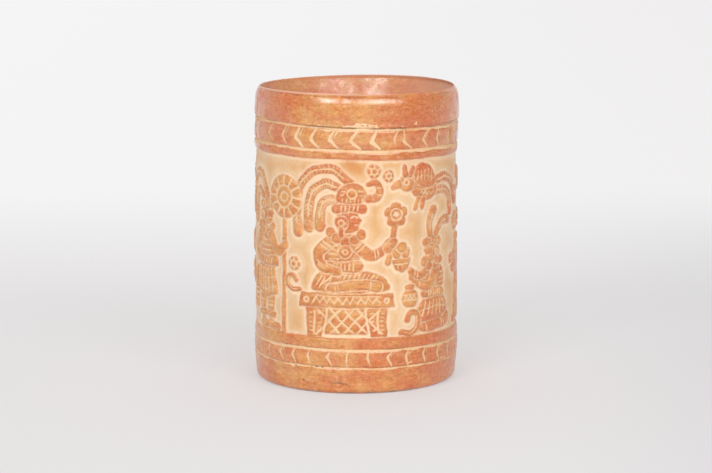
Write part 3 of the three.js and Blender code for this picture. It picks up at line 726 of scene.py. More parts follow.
class Wall:
    """The carved outer skin: its depth in millimetres and the distances that the materials read."""

    # How far the bare wall lies inside the bands and how far it leans to the right, by height
    STANCE = (0, 12, 18, 30, 42, 54, 66, 78, 90, 102, 114, 120, 126, 132, 147)
    INSET = (0, 0, -0.1, 0.1, 0, -0.1, -0.1, -0.05, 0.05, 0.05, 0.25, 0.25, 0.15, 0.3, 0.3)
    LEAN = (-0.1, 0, 0.1, 0.05, -0.15, -0.25, -0.2, -0.15, 0, 0, 0.05, 0.05, 0.2, 0.45, 0.45)

    def __init__(self, sizes):
        self.sizes = in_mm(sizes)
        self.ground = DRUM_BOTTOM + self.sizes["border"], DRUM_TOP - self.sizes["border"]
        # Each ring's height, its share of the full depth and its width
        self.rings = (
            (BASE_TOP, 0.7, 0.95), (self.sizes["lower_ring"], 0.85, 1.4),
            (self.sizes["upper_ring"], 1.0, 1.75), (COLLAR_BOTTOM, 1.0, 1.35),
        )
        self.upper = chevrons(UPPER_CHEVRONS, 31, 4.1, -0.6, -4.6, 4)
        self.upper.append(cut([(20.4, 3.6), (19.2, 0.6), (19.9, -2.2)], 0.8))
        self.lower = chevrons(LOWER_CHEVRONS, 32, 3.2, 0.5, -3.6, 9)
        self.frieze = frieze()

    def level(self, across, height):
        """Height of a hand-cut ring at each point round the wall."""
        drift = self.sizes["drift"] * np.interp(height, (13, 22, 116, 121, 131), (0.5, 0.27, 0.75, 0.85, 1))
        angle = across / BAND_RADIUS
        waver = 0.25 * ripple(across, np.full(across.shape, height), 14, 21)
        waver += 0.1 * ripple(across, np.full(across.shape, height), 3.5, 22)
        return height - drift * np.sin(angle) - 0.15 * np.cos(2 * angle + height) + waver

    def stance(self, across, up):
        """How far the bare wall lies inside the bands before anything is carved."""
        stance = np.interp(up, self.STANCE, self.INSET)
        stance -= np.interp(up, self.STANCE, self.LEAN) * np.sin(across / BAND_RADIUS)
        stance += self.sizes["waver"] * (ripple(across, up, 30, 3) + 0.5 * ripple(across, up, 9, 5))
        return stance + 0.035 * ripple(across, up, 2.4, 6)

    def cut_rings(self, relief):
        """Rings that are steep above, with a dark line of painted shade there, and sloped below."""
        across, up = relief.across, relief.up
        under_collar = ramp(up, COLLAR_BOTTOM - 2, COLLAR_BOTTOM - 1)
        thick = 0.16 + 0.17 * under_collar * np.cos(across / BAND_RADIUS + 0.4)
        for height, share, width in self.rings:
            above = up - self.level(across, height)
            spread = width * (1 + 0.35 * ripple(across, np.full(across.shape, height), 6, 23))
            steep = np.exp(-(above / 0.42) ** 2)
            sloped = np.exp(-(above / (0.62 * spread)) ** 2)
            deep = self.sizes["ring_depth"] * share * np.where(above > 0, steep, sloped)
            relief.depth = np.maximum(relief.depth, deep)
            gap = np.where(above > 0, above - 0.15, -above - 0.75 * spread + relief.rag)
            relief.cut = np.minimum(relief.cut, gap)
            # Painted shade: a dark line along the steep upper wall of each ring, thicker under the collar's
            # front.
            relief.shade_and_crack_line = np.minimum(relief.shade_and_crack_line, np.abs(above - 0.2) - thick)

    def cut_chevrons(self, relief, marks, low, high):
        """A band of gouged chevrons between two rings, with a dark line of painted shade along one side of
        each.
        """
        band = (relief.up > low - 3) & (relief.up < high + 3)
        if not band.any():
            return
        across, up = relief.across[band], relief.up[band]
        above = up - (self.level(across, low) + self.level(across, high)) / 2
        moved = across + 0.3 * ripple(across, up, 3, 46)
        _, gap = carve(marks, moved, above)
        _, shade = carve(marks, moved - 0.7, above)
        gap = gap + 0.6 * relief.rag[band]
        deep = self.sizes["chevron_depth"] * ramp(-gap, -0.25, 0.5)
        relief.depth[band] = np.maximum(relief.depth[band], deep)
        relief.cut[band] = np.minimum(relief.cut[band], gap)
        # Painted shade: a dark line offset to one side of each cut.
        relief.shade_and_crack_line[band] = np.minimum(relief.shade_and_crack_line[band], np.maximum(shade + 0.3, 0.1 - gap))

    def cut_frieze(self, relief):
        """Rounded figures with incised lines, and the ground scraped away round them."""
        low, high = self.ground
        across, up = relief.across, relief.up
        border = np.minimum(up - self.level(across, low), self.level(across, high) - up)
        field = border > -2
        if not field.any():
            return
        a, z = across[field], up[field]
        a = a + 0.45 * ripple(a, z, 6, 41) + 0.2 * ripple(a, z, 2.2, 42)
        z = z + 0.45 * ripple(across[field], z, 6, 43) + 0.2 * ripple(across[field], z, 2.2, 44)
        drawn, line = carve(self.frieze, a, z - low)
        raised = np.minimum(drawn, border[field]) + 0.6 * relief.rag[field]
        scraped = ramp(raised, -0.4, 0.5)
        shallow = 0.85 * ramp(raised, 2.0, 13) + 0.1 * ripple(a, z, 4.2, 45)
        moat = 0.16 * np.exp(-((raised - 0.95) / 0.6) ** 2) - 0.18 * np.exp(-((raised - 2.2) / 0.6) ** 2)
        inner = self.sizes["line_depth"] * ramp(-line, -0.3, 0.4) * (1 - scraped)
        pillow = 0.3 * ramp(raised, -2.2, 0)
        deep = scraped * (self.sizes["relief"] - shallow + moat) + (inner + pillow) * (1 - scraped)
        relief.depth[field] = np.maximum(relief.depth[field], deep)
        relief.figure[field] = raised
        relief.cut[field] = np.minimum(relief.cut[field], line + 0.5 * relief.rag[field])

    def wear(self, relief):
        """A dark line of painted shade in the crease under the crest, a painted contact shadow along the
        lower edge, dimples, crumbs and cracks.
        """
        across, up = relief.across, relief.up
        # Painted shade: a dark line in the crease under the crest, and a painted contact shadow along the
        # lower edge of the foot.
        crease = np.abs(up - RIM_TOP + 1.35) - 0.12
        relief.shade_and_crack_line = np.minimum(np.minimum(relief.shade_and_crack_line, crease), up - 0.95)
        for mark_across, mark_up, radius, deep in DENTS:
            gap = np.hypot(across - mark_across, up - mark_up) / radius
            relief.depth += deep * np.exp(-gap ** 2)
        _, scratch = carve(SCRATCHES, across, up)
        relief.depth += 0.3 * ramp(-scratch, -0.2, 0.3)
        ragged = scratch + 0.15 + 0.5 * ripple(across, up, 0.8, 47) + relief.rag
        relief.cut = np.minimum(relief.cut, ragged)
        _, crack = carve(CRACKS, across, up)
        relief.depth += 0.35 * ramp(-crack, -0.2, 0.2)
        relief.shade_and_crack_line = np.minimum(relief.shade_and_crack_line, crack)

    def relief(self, across, up):
        """Everything that is carved or worn into the wall at these points."""
        relief = Relief(across, up)
        self.cut_rings(relief)
        self.cut_chevrons(relief, self.lower, BASE_TOP, self.sizes["lower_ring"])
        self.cut_chevrons(relief, self.upper, self.sizes["upper_ring"], COLLAR_BOTTOM)
        self.cut_frieze(relief)
        self.wear(relief)
        relief.depth += self.stance(across, up)
        return relief


def spun(name, outline, skin, columns, closed=True):
    """A body of revolution. Outline is (radius, height) in millimetres; skin says which points are carved."""
    bm = bmesh.new()
    layers = {label: bm.verts.layers.float.new(label) for label in ("skin", "along", "radius")}
    chain = [bm.verts.new((0, -radius * MM, height * MM)) for radius, height in outline]
    steps = np.hypot(*np.diff(np.array(outline + outline[:1]), axis=0).T)
    length = steps.sum() if closed else steps[:-1].sum()
    walked = np.concatenate([[0], np.cumsum(steps)[:-1]]) / length
    for vert, (radius, _), is_skin, share in zip(chain, outline, skin, walked):
        vert[layers["skin"]] = 1.0 if is_skin else 0.0
        vert[layers["along"]] = share
        vert[layers["radius"]] = radius
    pairs = list(zip(chain, chain[1:])) + ([(chain[-1], chain[0])] if closed else [])
    edges = [bm.edges.new(pair) for pair in pairs]
    bmesh.ops.spin(bm, geom=chain + edges, cent=(0, 0, 0), axis=(0, 0, 1), angle=2 * math.pi,
                   steps=columns // FINER, use_merge=True)
    bmesh.ops.remove_doubles(bm, verts=bm.verts, dist=1e-7)
    radius = layers["radius"]
    level = [edge for edge in bm.edges if edge.verts[0][layers["along"]] == edge.verts[1][layers["along"]]
             and edge.verts[0][radius] > 0]
    bmesh.ops.subdivide_edges(bm, edges=level, cuts=FINER - 1, use_grid_fill=True)
    bmesh.ops.recalc_face_normals(bm, faces=bm.faces)
    mesh = bpy.data.meshes.new(name)
    bm.to_mesh(mesh)
    bm.free()
    return mesh


def coordinates(mesh):
    """The places of the vertices."""
    places = np.empty(len(mesh.vertices) * 3, np.float32)
    mesh.vertices.foreach_get("co", places)
    return places.reshape(-1, 3)


def numbers(mesh, name):
    """The values of a vertex attribute."""
    values = np.empty(len(mesh.vertices), np.float32)
    mesh.attributes[name].data.foreach_get("value", values)
    return values


def store(mesh, name, values):
    """Keep values on the vertices for the materials to read."""
    mesh.attributes.new(name, "FLOAT", "POINT")
    mesh.attributes[name].data.foreach_set("value", values.astype(np.float32))


def listed(items, name):
    """One whole number of each loop or face."""
    values = np.empty(len(items), int)
    items.foreach_get(name, values)
    return values


def unrolled_uv(mesh, closed=True):
    """A map of the piece unrolled flat: round the vase across, along its outline up."""
    corners = listed(mesh.loops, "vertex_index")
    x, y, _ = coordinates(mesh).T
    round_share = (np.arctan2(x, -y) / (2 * math.pi)) % 1
    uv = np.stack([round_share[corners], numbers(mesh, "along")[corners]], -1)
    starts = listed(mesh.polygons, "loop_start")
    face = np.repeat(np.arange(len(starts)), listed(mesh.polygons, "loop_total"))
    for axis in (0, 1) if closed else (0,):
        high = np.maximum.reduceat(uv[:, axis], starts)[face]
        uv[:, axis] += (high - uv[:, axis]) > 0.5
    layer = mesh.uv_layers.new(name="OFBake")
    layer.data.foreach_set("uv", (MAP_MARGIN + MAP_SHARE * uv).astype(np.float32).ravel())


def polish(angle, up, carved):
    """How burnished each point is: 1 gleams and 0 is dull, with dusty clay inside the mouth. The dulled crest
    band and the duller right end of the inside take a pale colour as painted light.
    """
    across = angle * BAND_RADIUS
    # Painted light: the inside grows duller towards its right end, so that it takes the pale film colour
    # where it lies in shade.
    inner = 0.3 - 0.6 * ramp(np.sin(angle), 0.4, 0.8) - 0.5 * ramp(np.sin(angle), 0.85, 1.0)
    burnish = np.where(carved, 0.75 + 0.25 * ramp(up, 22, 115), inner)
    # Painted highlight, partly wear: the band under the crest is dulled, so that it takes the pale film
    # colour for the gleam along the crest.
    burnish -= 1.7 * ramp(up, RIM_TOP - 1.0, RIM_TOP - 0.5)
    for mark_across, mark_up, radius, share in RUBBED:
        gap = np.hypot((across - mark_across) / 2, up - mark_up) / radius
        burnish -= share * np.exp(-gap ** 2)
    return burnish


def carved_piece(name, outline, skin, sizes, closed=True):
    """A turned piece whose outer skin is carved, with the distances that its material reads."""
    mesh = spun(name, outline, skin, sizes.columns, closed)
    co = coordinates(mesh).astype(float) / MM
    radius = numbers(mesh, "radius")
    angle = np.arctan2(co[:, 0], -co[:, 1])
    across, up = angle * BAND_RADIUS, co[:, 2]
    carved = numbers(mesh, "skin") > 0.5
    wall = Wall(sizes)
    relief = wall.relief(across[carved], up[carved])

    def spread(values, elsewhere):
        """The skin's values, with one value for all other points."""
        whole = np.full(len(co), elsewhere)
        whole[carved] = values
        return whole

    # Inside, the wall follows the lean of the mouth, and the crest dips and rises round it. Up is a view of
    # the vertices' heights, so lowering it lowers them.
    depth = spread(relief.depth, 0.0)
    inside = ~carved & (radius > 5)
    lift = ramp(up, COLLAR_BOTTOM + 2, RIM_TOP - 3)
    wobble = 0.1 * ripple(across, up, 8, 61) + 0.1 * ripple(across, up, 23, 62)
    wobble *= ramp(up, RIM_TOP, RIM_TOP - 3)
    lean = np.interp(up, (COLLAR_BOTTOM + 2, RIM_TOP - 7, RIM_TOP - 2, RIM_TOP), (0, 1, 1, wall.LEAN[-1]))
    depth[inside] = (lift * wall.INSET[-1] - wobble - wall.sizes["lip_lean"] * lean * np.sin(angle))[inside]
    up -= wall.sizes["lip_dip"] * lift * (0.5 + 0.5 * np.cos(2 * angle - math.radians(100)))
    reach = np.minimum(radius - depth, COLLAR_RADIUS - 0.01)
    co[:, 0] = reach * np.sin(angle)
    co[:, 1] = -reach * np.cos(angle)
    mesh.vertices.foreach_set("co", (co * MM).astype(np.float32).ravel())

    store(mesh, "figure", spread(relief.figure, -FAR))
    store(mesh, "cut", spread(relief.cut, FAR))
    store(mesh, "shade_and_crack_line", spread(relief.shade_and_crack_line, FAR))
    store(mesh, "burnish", polish(angle, up, carved))
    store(mesh, "tone", tone(across, up))
    unrolled_uv(mesh, closed)
    for label in ("skin", "along", "radius"):
        mesh.attributes.remove(mesh.attributes[label])
    mesh.shade_smooth()
    mesh.set_sharp_from_angle(angle=SHARP)
    piece = bpy.data.objects.new(name, mesh)
    bpy.context.scene.collection.objects.link(piece)
    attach(piece, "root")
    return piece


def skin_rows(bottom, top, step=0.5):
    """The outer skin's outline from one height to another, in rows about a step apart."""
    count = max(2, round((top - bottom) / step))
    return [(BAND_RADIUS, height) for height in np.linspace(bottom, top, count + 1)]


def course(name, outer, sizes, rows=4):
    """A course of the wall: the outer skin closed by flat joints and the straight inner wall."""
    bottom, top = outer[0][1], outer[-1][1]
    inner = [(BAND_RADIUS - sizes.wall / MM, height) for height in np.linspace(top, bottom, rows + 1)]
    return carved_piece(name, outer + inner, [True] * len(outer) + [False] * len(inner), sizes)


# Materials

def add(tree, kind, inputs=None, **settings):
    """A node with its settings and inputs."""
    node = tree.nodes.new(kind)
    for name, value in settings.items():
        setattr(node, name, value)
    fill(node, inputs or {})
    return node


def fill(node, inputs):
    """Give inputs of a node their values, or link the signals that feed them."""
    for name, value in inputs.items():
        if isinstance(value, Signal):
            node.id_data.links.new(value.socket, node.inputs[name])
        else:
            node.inputs[name].default_value = value


class Signal:
    """A node's output, so that masks and shares can be written as sums and products."""

    def __init__(self, socket):
        self.socket = socket

    def node(self, kind, inputs, output=0, **settings):
        """The output of a further node in the same tree."""
        return Signal(add(self.socket.id_data, kind, inputs, **settings).outputs[output])

    def maths(self, operation, a, b=0.0):
        return self.node("ShaderNodeMath", {0: a, 1: b}, operation=operation)

    def __add__(self, other):
        return self.maths("ADD", self, other)

    def __sub__(self, other):
        return self.maths("SUBTRACT", self, other)

    def __rsub__(self, other):
        return self.maths("SUBTRACT", other, self)

    def __mul__(self, other):
        return self.maths("MULTIPLY", self, other)

    def __truediv__(self, other):
        return self.maths("DIVIDE", self, other)

    def __abs__(self):
        return self.maths("ABSOLUTE", self)

    def or_higher(self, other):
        return self.maths("MAXIMUM", self, other)

    def clamped(self):
        """The same value, held between 0 and 1."""
        self.socket.node.use_clamp = True
        return self

    def stepped(self, low, high):
        """0 to 1 as the value goes from low to high."""
        return self.node("ShaderNodeMapRange", {"Value": self, "From Min": low, "From Max": high}, "Result",
                         interpolation_type="SMOOTHSTEP")


def noise(where, scale, detail=3.0, roughness=0.55):
    return where.node("ShaderNodeTexNoise", {"Vector": where, "Scale": scale, "Detail": detail,
                                             "Roughness": roughness}, "Fac")


def stretched(where, up):
    """Places with their height multiplied, so that a pattern there is as much flatter."""
    return where.node("ShaderNodeMapping", {"Vector": where, "Scale": (1, 1, up)})


def blend(share, a, b):
    """The colour a where the share is 0 and b where it is 1."""
    return share.node("ShaderNodeMix", {0: share, 6: a, 7: b}, 2, data_type="RGBA")


def adjusted(tint, value, saturation):
    return value.node("ShaderNodeHueSaturation", {"Color": tint, "Value": value, "Saturation": saturation})


def bumped(height, strength, distance):
    return height.node("ShaderNodeBump", {"Height": height, "Strength": strength, "Distance": distance})


def object_place(tree):
    return Signal(add(tree, "ShaderNodeTexCoord").outputs["Object"])


def along(tree, axis):
    """The place along one axis of the room."""
    place = object_place(tree)
    return place.node("ShaderNodeSeparateXYZ", {0: place}, axis)


COLOUR, VALUE, VECTOR = "NodeSocketColor", "NodeSocketFloat", "NodeSocketVector"


def group(name, inputs, outputs):
    """A new node group with its sockets: the signals given to it and the node that its results go to."""
    tree = bpy.data.node_groups.new(name, "ShaderNodeTree")
    for label, kind in inputs.items():
        tree.interface.new_socket(label, in_out="INPUT", socket_type=kind)
    for label, kind in outputs.items():
        tree.interface.new_socket(label, in_out="OUTPUT", socket_type=kind)
    entry = tree.nodes.new("NodeGroupInput")
    given = {label: Signal(entry.outputs[label]) for label in inputs}
    return given, tree.nodes.new("NodeGroupOutput")


def use(tree, name, inputs):
    """The outputs of a shared node group, by name."""
    node = tree.nodes.new("ShaderNodeGroup")
    node.node_tree = bpy.data.node_groups[name]
    fill(node, inputs)
    return {output.name: Signal(output) for output in node.outputs}


def slip_group():
    """Burnished slip: orange that drifts to ochre and red in clouds and blotches, with worn spots."""
    given, out = group(
        "slip_mottling",
        {"Where": VECTOR, "Drift": VALUE, "Slip": COLOUR, "Ochre": COLOUR, "Red": COLOUR},
        {"Color": COLOUR, "Worn": VALUE})
    where = given["Where"]
    brushed = stretched(where, 2.6)
    shift = given["Drift"] * 0.13
    clouds = (noise(brushed, 30, 4) + shift).stepped(0.42, 0.64)
    blotches = (noise(brushed, 120, 4, 0.6) + shift).stepped(0.44, 0.66)
    warm = (noise(where, 48, 5, 0.62) - shift).stepped(0.45, 0.66)
    flecks = noise(brushed, 300, 3, 0.65).stepped(0.48, 0.7)
    speckle = noise(stretched(where, 1.5), 480, 5, 0.9)
    strokes = noise(stretched(where, 9), 130, 3, 0.6)
    tint = blend(clouds * 0.5 + blotches * 0.5, given["Slip"], given["Ochre"])
    tint = blend(warm * 0.7, tint, given["Red"])
    tint = blend(flecks * 0.35, tint, given["Ochre"])
    tint = adjusted(tint, speckle * 1.5 + strokes * 0.4 + 0.06, 1.25 - speckle * 0.5)
    worn = (noise(where, 170, 4, 0.7) + speckle * 0.3).stepped(0.7, 0.9)
    fill(out, {"Color": tint, "Worn": worn})


def clay_group():
    """Bare clay: cream in the fresh cuts, tan and streaked where the ground was only scraped, with stains and
    a painted highlight in a thin band next to the figures.
    """
    given, out = group(
        "bare_clay",
        {"Where": VECTOR, "Distance": VALUE, "Stained": VALUE,
         "Cream": COLOUR, "Tan": COLOUR, "Stain": COLOUR},
        {"Color": COLOUR})
    where, distance, stained = given["Where"], given["Distance"], given["Stained"]
    cloud = (noise(where, 40, 4) - 0.5) * 7
    far = (distance + cloud).stepped(0.8, 6.5)
    patches = noise(stretched(where, 0.3), 140, 5, 0.6).stepped(0.42, 0.7)
    share = (far * 0.75 + patches * 0.3 + (stained - 0.45) * 0.8).clamped()
    stains = noise(where, 75, 3, 0.5).stepped(0.55, 0.75) * stained
    tint = blend(stains, blend(share, given["Cream"], given["Tan"]), given["Stain"])
    grain = noise(where, 900, 3, 0.7)
    # Painted highlight: a brighter, paler band about a millimetre out from the figures.
    edge_highlight = 1.0 - abs(distance - 1.1).stepped(0.2, 1.0)
    fill(out, {"Color": adjusted(tint, grain * 0.2 + edge_highlight * 0.05 + 0.89, 1.04 - edge_highlight * 0.16)})


def edge_group():
    """A ragged mask from a distance: 1 inside, 0 outside."""
    given, out = group(
        "ragged_edge",
        {"Where": VECTOR, "Distance": VALUE, "Soft": VALUE, "Rag": VALUE},
        {"Mask": VALUE})
    rag = (noise(given["Where"], 900, 3, 0.7) - 0.5) * given["Rag"]
    fill(out, {"Mask": (0.5 - (given["Distance"] + rag) / given["Soft"]).clamped()})


def grain_group():
    """Fine grain and rubbing marks for the bump."""
    given, out = group("clay_grain", {"Where": VECTOR, "Bare": VALUE}, {"Height": VALUE})
    grit = noise(given["Where"], 1300, 4, 0.7) * (given["Bare"] + 0.5)
    rubbed = noise(stretched(given["Where"], 6), 160, 3)
    fill(out, {"Height": grit + rubbed * 0.5})


def rgba(value):
    return *value, 1.0


def new_material(name):
    """A new material and its surface."""
    material = bpy.data.materials.new(name)
    material.use_nodes = True
    return material, material.node_tree, material.node_tree.nodes["Principled BSDF"]


def wall_material(name, colours, gloss, shine, sheen):
    """Slip on what stands proud, bare clay in the cuts and on the scraped ground.

    Gloss is the slip's roughness and shine is how much its burnished skin adds."""
    material, tree, surface = new_material(name)
    where = object_place(tree)
    figure, cut_gap, shade_and_crack_line, burnish, drift = (
        Signal(add(tree, "ShaderNodeAttribute", attribute_name=label).outputs["Fac"])
        for label in ("figure", "cut", "shade_and_crack_line", "burnish", "tone"))
    slip = use(tree, "slip_mottling", {"Where": where, "Drift": drift, "Slip": rgba(colours.slip),
                                       "Ochre": rgba(colours.slip_ochre), "Red": rgba(colours.slip_red)})
    stained = (0.56 - drift * 0.4).clamped()
    clay = use(tree, "bare_clay", {"Where": where, "Distance": figure, "Stained": stained,
                                   "Cream": rgba(colours.cream), "Tan": rgba(colours.tan),
                                   "Stain": rgba(colours.stain)})["Color"]

    def ragged(distance, soft, rag):
        inputs = {"Where": where, "Distance": distance, "Soft": soft, "Rag": rag}
        return use(tree, "ragged_edge", inputs)["Mask"]

    proud = ragged(figure - 0.2, 0.8, 1.0)
    opened = ragged(cut_gap, 0.3, 0.6)
    dark = ragged(shade_and_crack_line, 0.3, 0.9)
    worn = slip["Worn"] * (figure.stepped(-1.4, -0.2) * 0.6 + 0.25)
    covered = proud * (1.0 - opened) * (1.0 - worn)
    # Dull places take the pale film colour: a real dusty film inside the mouth, a painted highlight in the
    # band under the crest and painted light at the inside's right end.
    dull = ((0.65 - burnish) * 0.75).clamped()
    tint = blend(covered, clay, blend(dull, slip["Color"], rgba(colours.dust_and_highlight)))
    patchy = noise(where, 120, 3).stepped(0.36, 0.6)
    # Painted shade: a patchy darker line along every edge of the figures, for the shade on their steep sides.
    edge_shade = (1.0 - abs(figure + 0.1) / 0.5).clamped()
    tint = blend(edge_shade * (patchy * 0.55), tint, rgba(colours.edge))
    # Painted shade in the grooves, the crease and along the foot, and the dark of the cracks.
    tint = blend(dark * (patchy * 0.75), tint, rgba(colours.shade_and_crack))
    uneven = (noise(where, 300, 3) - 0.5) * 0.3
    rubbed = noise(where, 90, 5, 0.7).stepped(0.3, 0.55) * shine
    speckle = noise(where, 420, 3, 0.6).stepped(0.42, 0.62) * 0.95
    skin = burnish.or_higher(speckle) * (burnish * 0.45 + 0.55)
    gritty = (1.0 - covered).or_higher(3.4 - burnish * 3.4)
    grain = use(tree, "clay_grain", {"Where": where, "Bare": gritty})["Height"]
    fill(surface, {
        "Base Color": tint,
        "Roughness": covered * (gloss - BARE_ROUGHNESS) + BARE_ROUGHNESS + uneven,
        "Coat Weight": covered * (rubbed * skin),
        "Coat Roughness": 0.24,
        "Coat IOR": 1.77,
        "Sheen Weight": sheen,
        "Sheen Roughness": 0.5,
        "Normal": bumped(grain, 0.35, 0.0003),
    })
    return material


def raw_material(name, colours):
    """Unslipped clay."""
    material, tree, surface = new_material(name)
    where = object_place(tree)
    clay = use(tree, "bare_clay", {"Where": where, "Distance": 3.0, "Stained": 0.4,
                                   "Cream": rgba(colours.slip_ochre), "Tan": rgba(colours.raw),
                                   "Stain": rgba(colours.stain)})["Color"]
    grain = use(tree, "clay_grain", {"Where": where, "Bare": 1.0})["Height"]
    fill(surface, {"Base Color": clay, "Roughness": 0.8, "Normal": bumped(grain, 0.5, 0.0004)})
    return material


def material_of(slot):
    """The shared materials are made with the first piece that asks for one."""
    name = slot + "_finish"
    if name not in bpy.data.materials:
        colours = bpy.context.scene.vase_colours
        if "slip_mottling" not in bpy.data.node_groups:
            for make in (slip_group, clay_group, edge_group, grain_group):
                make()
        if slot in FINISHES:
            wall_material(name, colours, *FINISHES[slot])
        else:
            raw_material(name, colours)
    return bpy.data.materials[name]


def dress(piece, node, slot):
    """Give a piece the material of the frame's slot and hide the frame's part that it stands for."""
    piece.data.materials.append(material_of(slot))
    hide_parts(node)


class VASE_OT_base_slab(bpy.types.Operator):
    """Make the foot band and the slab that closes the vase"""
    bl_idname = "vase.base_slab"
    bl_label = "Base slab"

    def execute(self, context):
        sizes = context.scene.vase_sizes
        wall = in_mm(sizes)
        rest, foot = BAND_RADIUS - wall["foot_inset"], BAND_RADIUS - 0.9
        turns = np.radians(np.linspace(-78, 0, 9))
        curve = [(rest + (foot - rest) * math.cos(t), wall["foot_curve"] * (1 + math.sin(t))) for t in turns]
        band = [(foot + (BAND_RADIUS - foot) * t, wall["foot_curve"] + (BASE_TOP - wall["foot_curve"]) * t)
                for t in np.linspace(0, 1, 19)[1:]]
        under = [(radius, 0) for radius in np.linspace(0, rest, 7)]
        floor = [(radius, BASE_TOP) for radius in np.linspace(BAND_RADIUS - wall["wall"], 0, 8)]
        outline = under + curve + band + floor
        skin = [False] * len(under) + [True] * (len(curve) + len(band)) + [False] * len(floor)
        piece = carved_piece("foot_and_slab", outline, skin, sizes, closed=False)
        dress(piece, "base_slab", "burnished_slip")
        return {"FINISHED"}


class VASE_OT_lower_band(bpy.types.Operator):
    """Make the course with the lower chevron band"""
    bl_idname = "vase.lower_band"
    bl_label = "Lower band"

    def execute(self, context):
        piece = course("lower_chevron_band", skin_rows(BASE_TOP, DRUM_BOTTOM), context.scene.vase_sizes)
        dress(piece, "lower_band_ring", "burnished_slip")
        return {"FINISHED"}


class VASE_OT_drum(bpy.types.Operator):
    """Make the tall course with the frieze"""
    bl_idname = "vase.drum"
    bl_label = "Figure drum"

    def execute(self, context):
        outer = skin_rows(DRUM_BOTTOM, DRUM_TOP, DRUM_STEP)
        piece = course("carved_drum", outer, context.scene.vase_sizes, 6)
        dress(piece, "figure_drum", "carved_relief")
        return {"FINISHED"}


class VASE_OT_upper_band(bpy.types.Operator):
    """Make the course with the upper chevron band"""
    bl_idname = "vase.upper_band"
    bl_label = "Upper band"

    def execute(self, context):
        piece = course("upper_chevron_band", skin_rows(DRUM_TOP, COLLAR_BOTTOM), context.scene.vase_sizes)
        dress(piece, "upper_band_ring", "burnished_slip")
        return {"FINISHED"}


class VASE_OT_rim_collar(bpy.types.Operator):
    """Make the burnished collar with its rolled lip"""
    bl_idname = "vase.rim_collar"
    bl_label = "Rim collar"

    def execute(self, context):
        sizes = context.scene.vase_sizes
        wall = in_mm(sizes)
        inner = BAND_RADIUS - wall["wall"]
        low = [(COLLAR_RADIUS - 0.5 * (1 - t) ** 2, COLLAR_BOTTOM + 1.2 * t)
               for t in np.linspace(0, 1, 5)[:-1]]
        outside = [(COLLAR_RADIUS - inset, RIM_TOP - drop) for drop, inset in smooth(LIP, steps=6)]
        mouth = outside[-1][1] - 0.4
        flare = [(inner + wall["lip_flare"] * (1 - t), mouth - 9.2 * t) for t in np.linspace(0, 1, 18)]
        inside = [(inner, height) for height in np.linspace(flare[-1][1], COLLAR_BOTTOM, 4)[1:]]
        outline = low + outside + flare + inside
        crest = max(range(len(outline)), key=lambda index: outline[index][1])
        skin = [index <= crest for index in range(len(outline))]
        dress(carved_piece("rim_collar_lip", outline, skin, sizes), "rim_collar", "burnished_slip")
        return {"FINISHED"}


class VASE_OT_corner_coil(bpy.types.Operator):
    """Make the coil of clay pressed into the corner between floor and wall"""
    bl_idname = "vase.corner_coil"
    bl_label = "Corner coil"

    def execute(self, context):
        reach = COIL_TOP - BASE_TOP
        hollow = [(COIL_RADIUS - reach + 0.85 * reach * math.cos(t), COIL_TOP + 0.85 * reach * math.sin(t))
                  for t in np.radians(np.linspace(0, -90, 7))]
        outline = [(COIL_RADIUS, BASE_TOP), (COIL_RADIUS, COIL_TOP), *hollow, (COIL_RADIUS - reach, BASE_TOP)]
        piece = carved_piece("pressed_coil", outline, [False] * len(outline), context.scene.vase_sizes)
        dress(piece, "corner_coil", "raw_clay")
        return {"FINISHED"}


def lamp(name, azimuth, elevation, distance, size, watts, target=(0, 0, 0.08)):
    """A softbox seen from the vase at an azimuth from the front and an elevation, both in degrees."""
    light = bpy.data.lights.new(name, "AREA")
    light.shape = "RECTANGLE"
    light.size, light.size_y = size
    light.energy = watts
    holder = bpy.data.objects.new(name, light)
    a, e = math.radians(azimuth), math.radians(elevation)
    holder.location = Vector(target) + distance * Vector(
        (math.cos(e) * math.sin(a), -math.cos(e) * math.cos(a), math.sin(e)))
    holder.rotation_euler = (Vector(target) - holder.location).to_track_quat("-Z", "Y").to_euler()
    bpy.context.scene.collection.objects.link(holder)


def sweep():
    """A paper sweep: a floor that curves up into a wall behind the vase."""
    bm = bmesh.new()
    front, depth, bend, high, width = -4.0, 2.6, 0.6, 2.4, 7.0
    turns = np.radians(np.linspace(-90, 0, 13))
    rise = [(depth + bend * math.cos(t), bend * (1 + math.sin(t))) for t in turns]
    outline = [(front, 0), *rise, (depth + bend, high)]
    chain = [bm.verts.new((-width / 2, y, z)) for y, z in outline]
    edges = [bm.edges.new(pair) for pair in zip(chain, chain[1:])]
    made = bmesh.ops.extrude_edge_only(bm, edges=edges)["geom"]
    bmesh.ops.translate(bm, verts=[v for v in made if isinstance(v, bmesh.types.BMVert)], vec=(width, 0, 0))
    bmesh.ops.recalc_face_normals(bm, faces=bm.faces)
    mesh = bpy.data.meshes.new("paper_sweep")
    bm.to_mesh(mesh)
    bm.free()
    mesh.shade_smooth()
    return mesh


def seen_rays(tree):
    """1 for camera and mirror rays, which see the paper's own brightness, 0 for the light that it gives."""
    path = tree.nodes.new("ShaderNodeLightPath").outputs
    return (Signal(path["Is Camera Ray"]) + Signal(path["Is Glossy Ray"])).clamped()


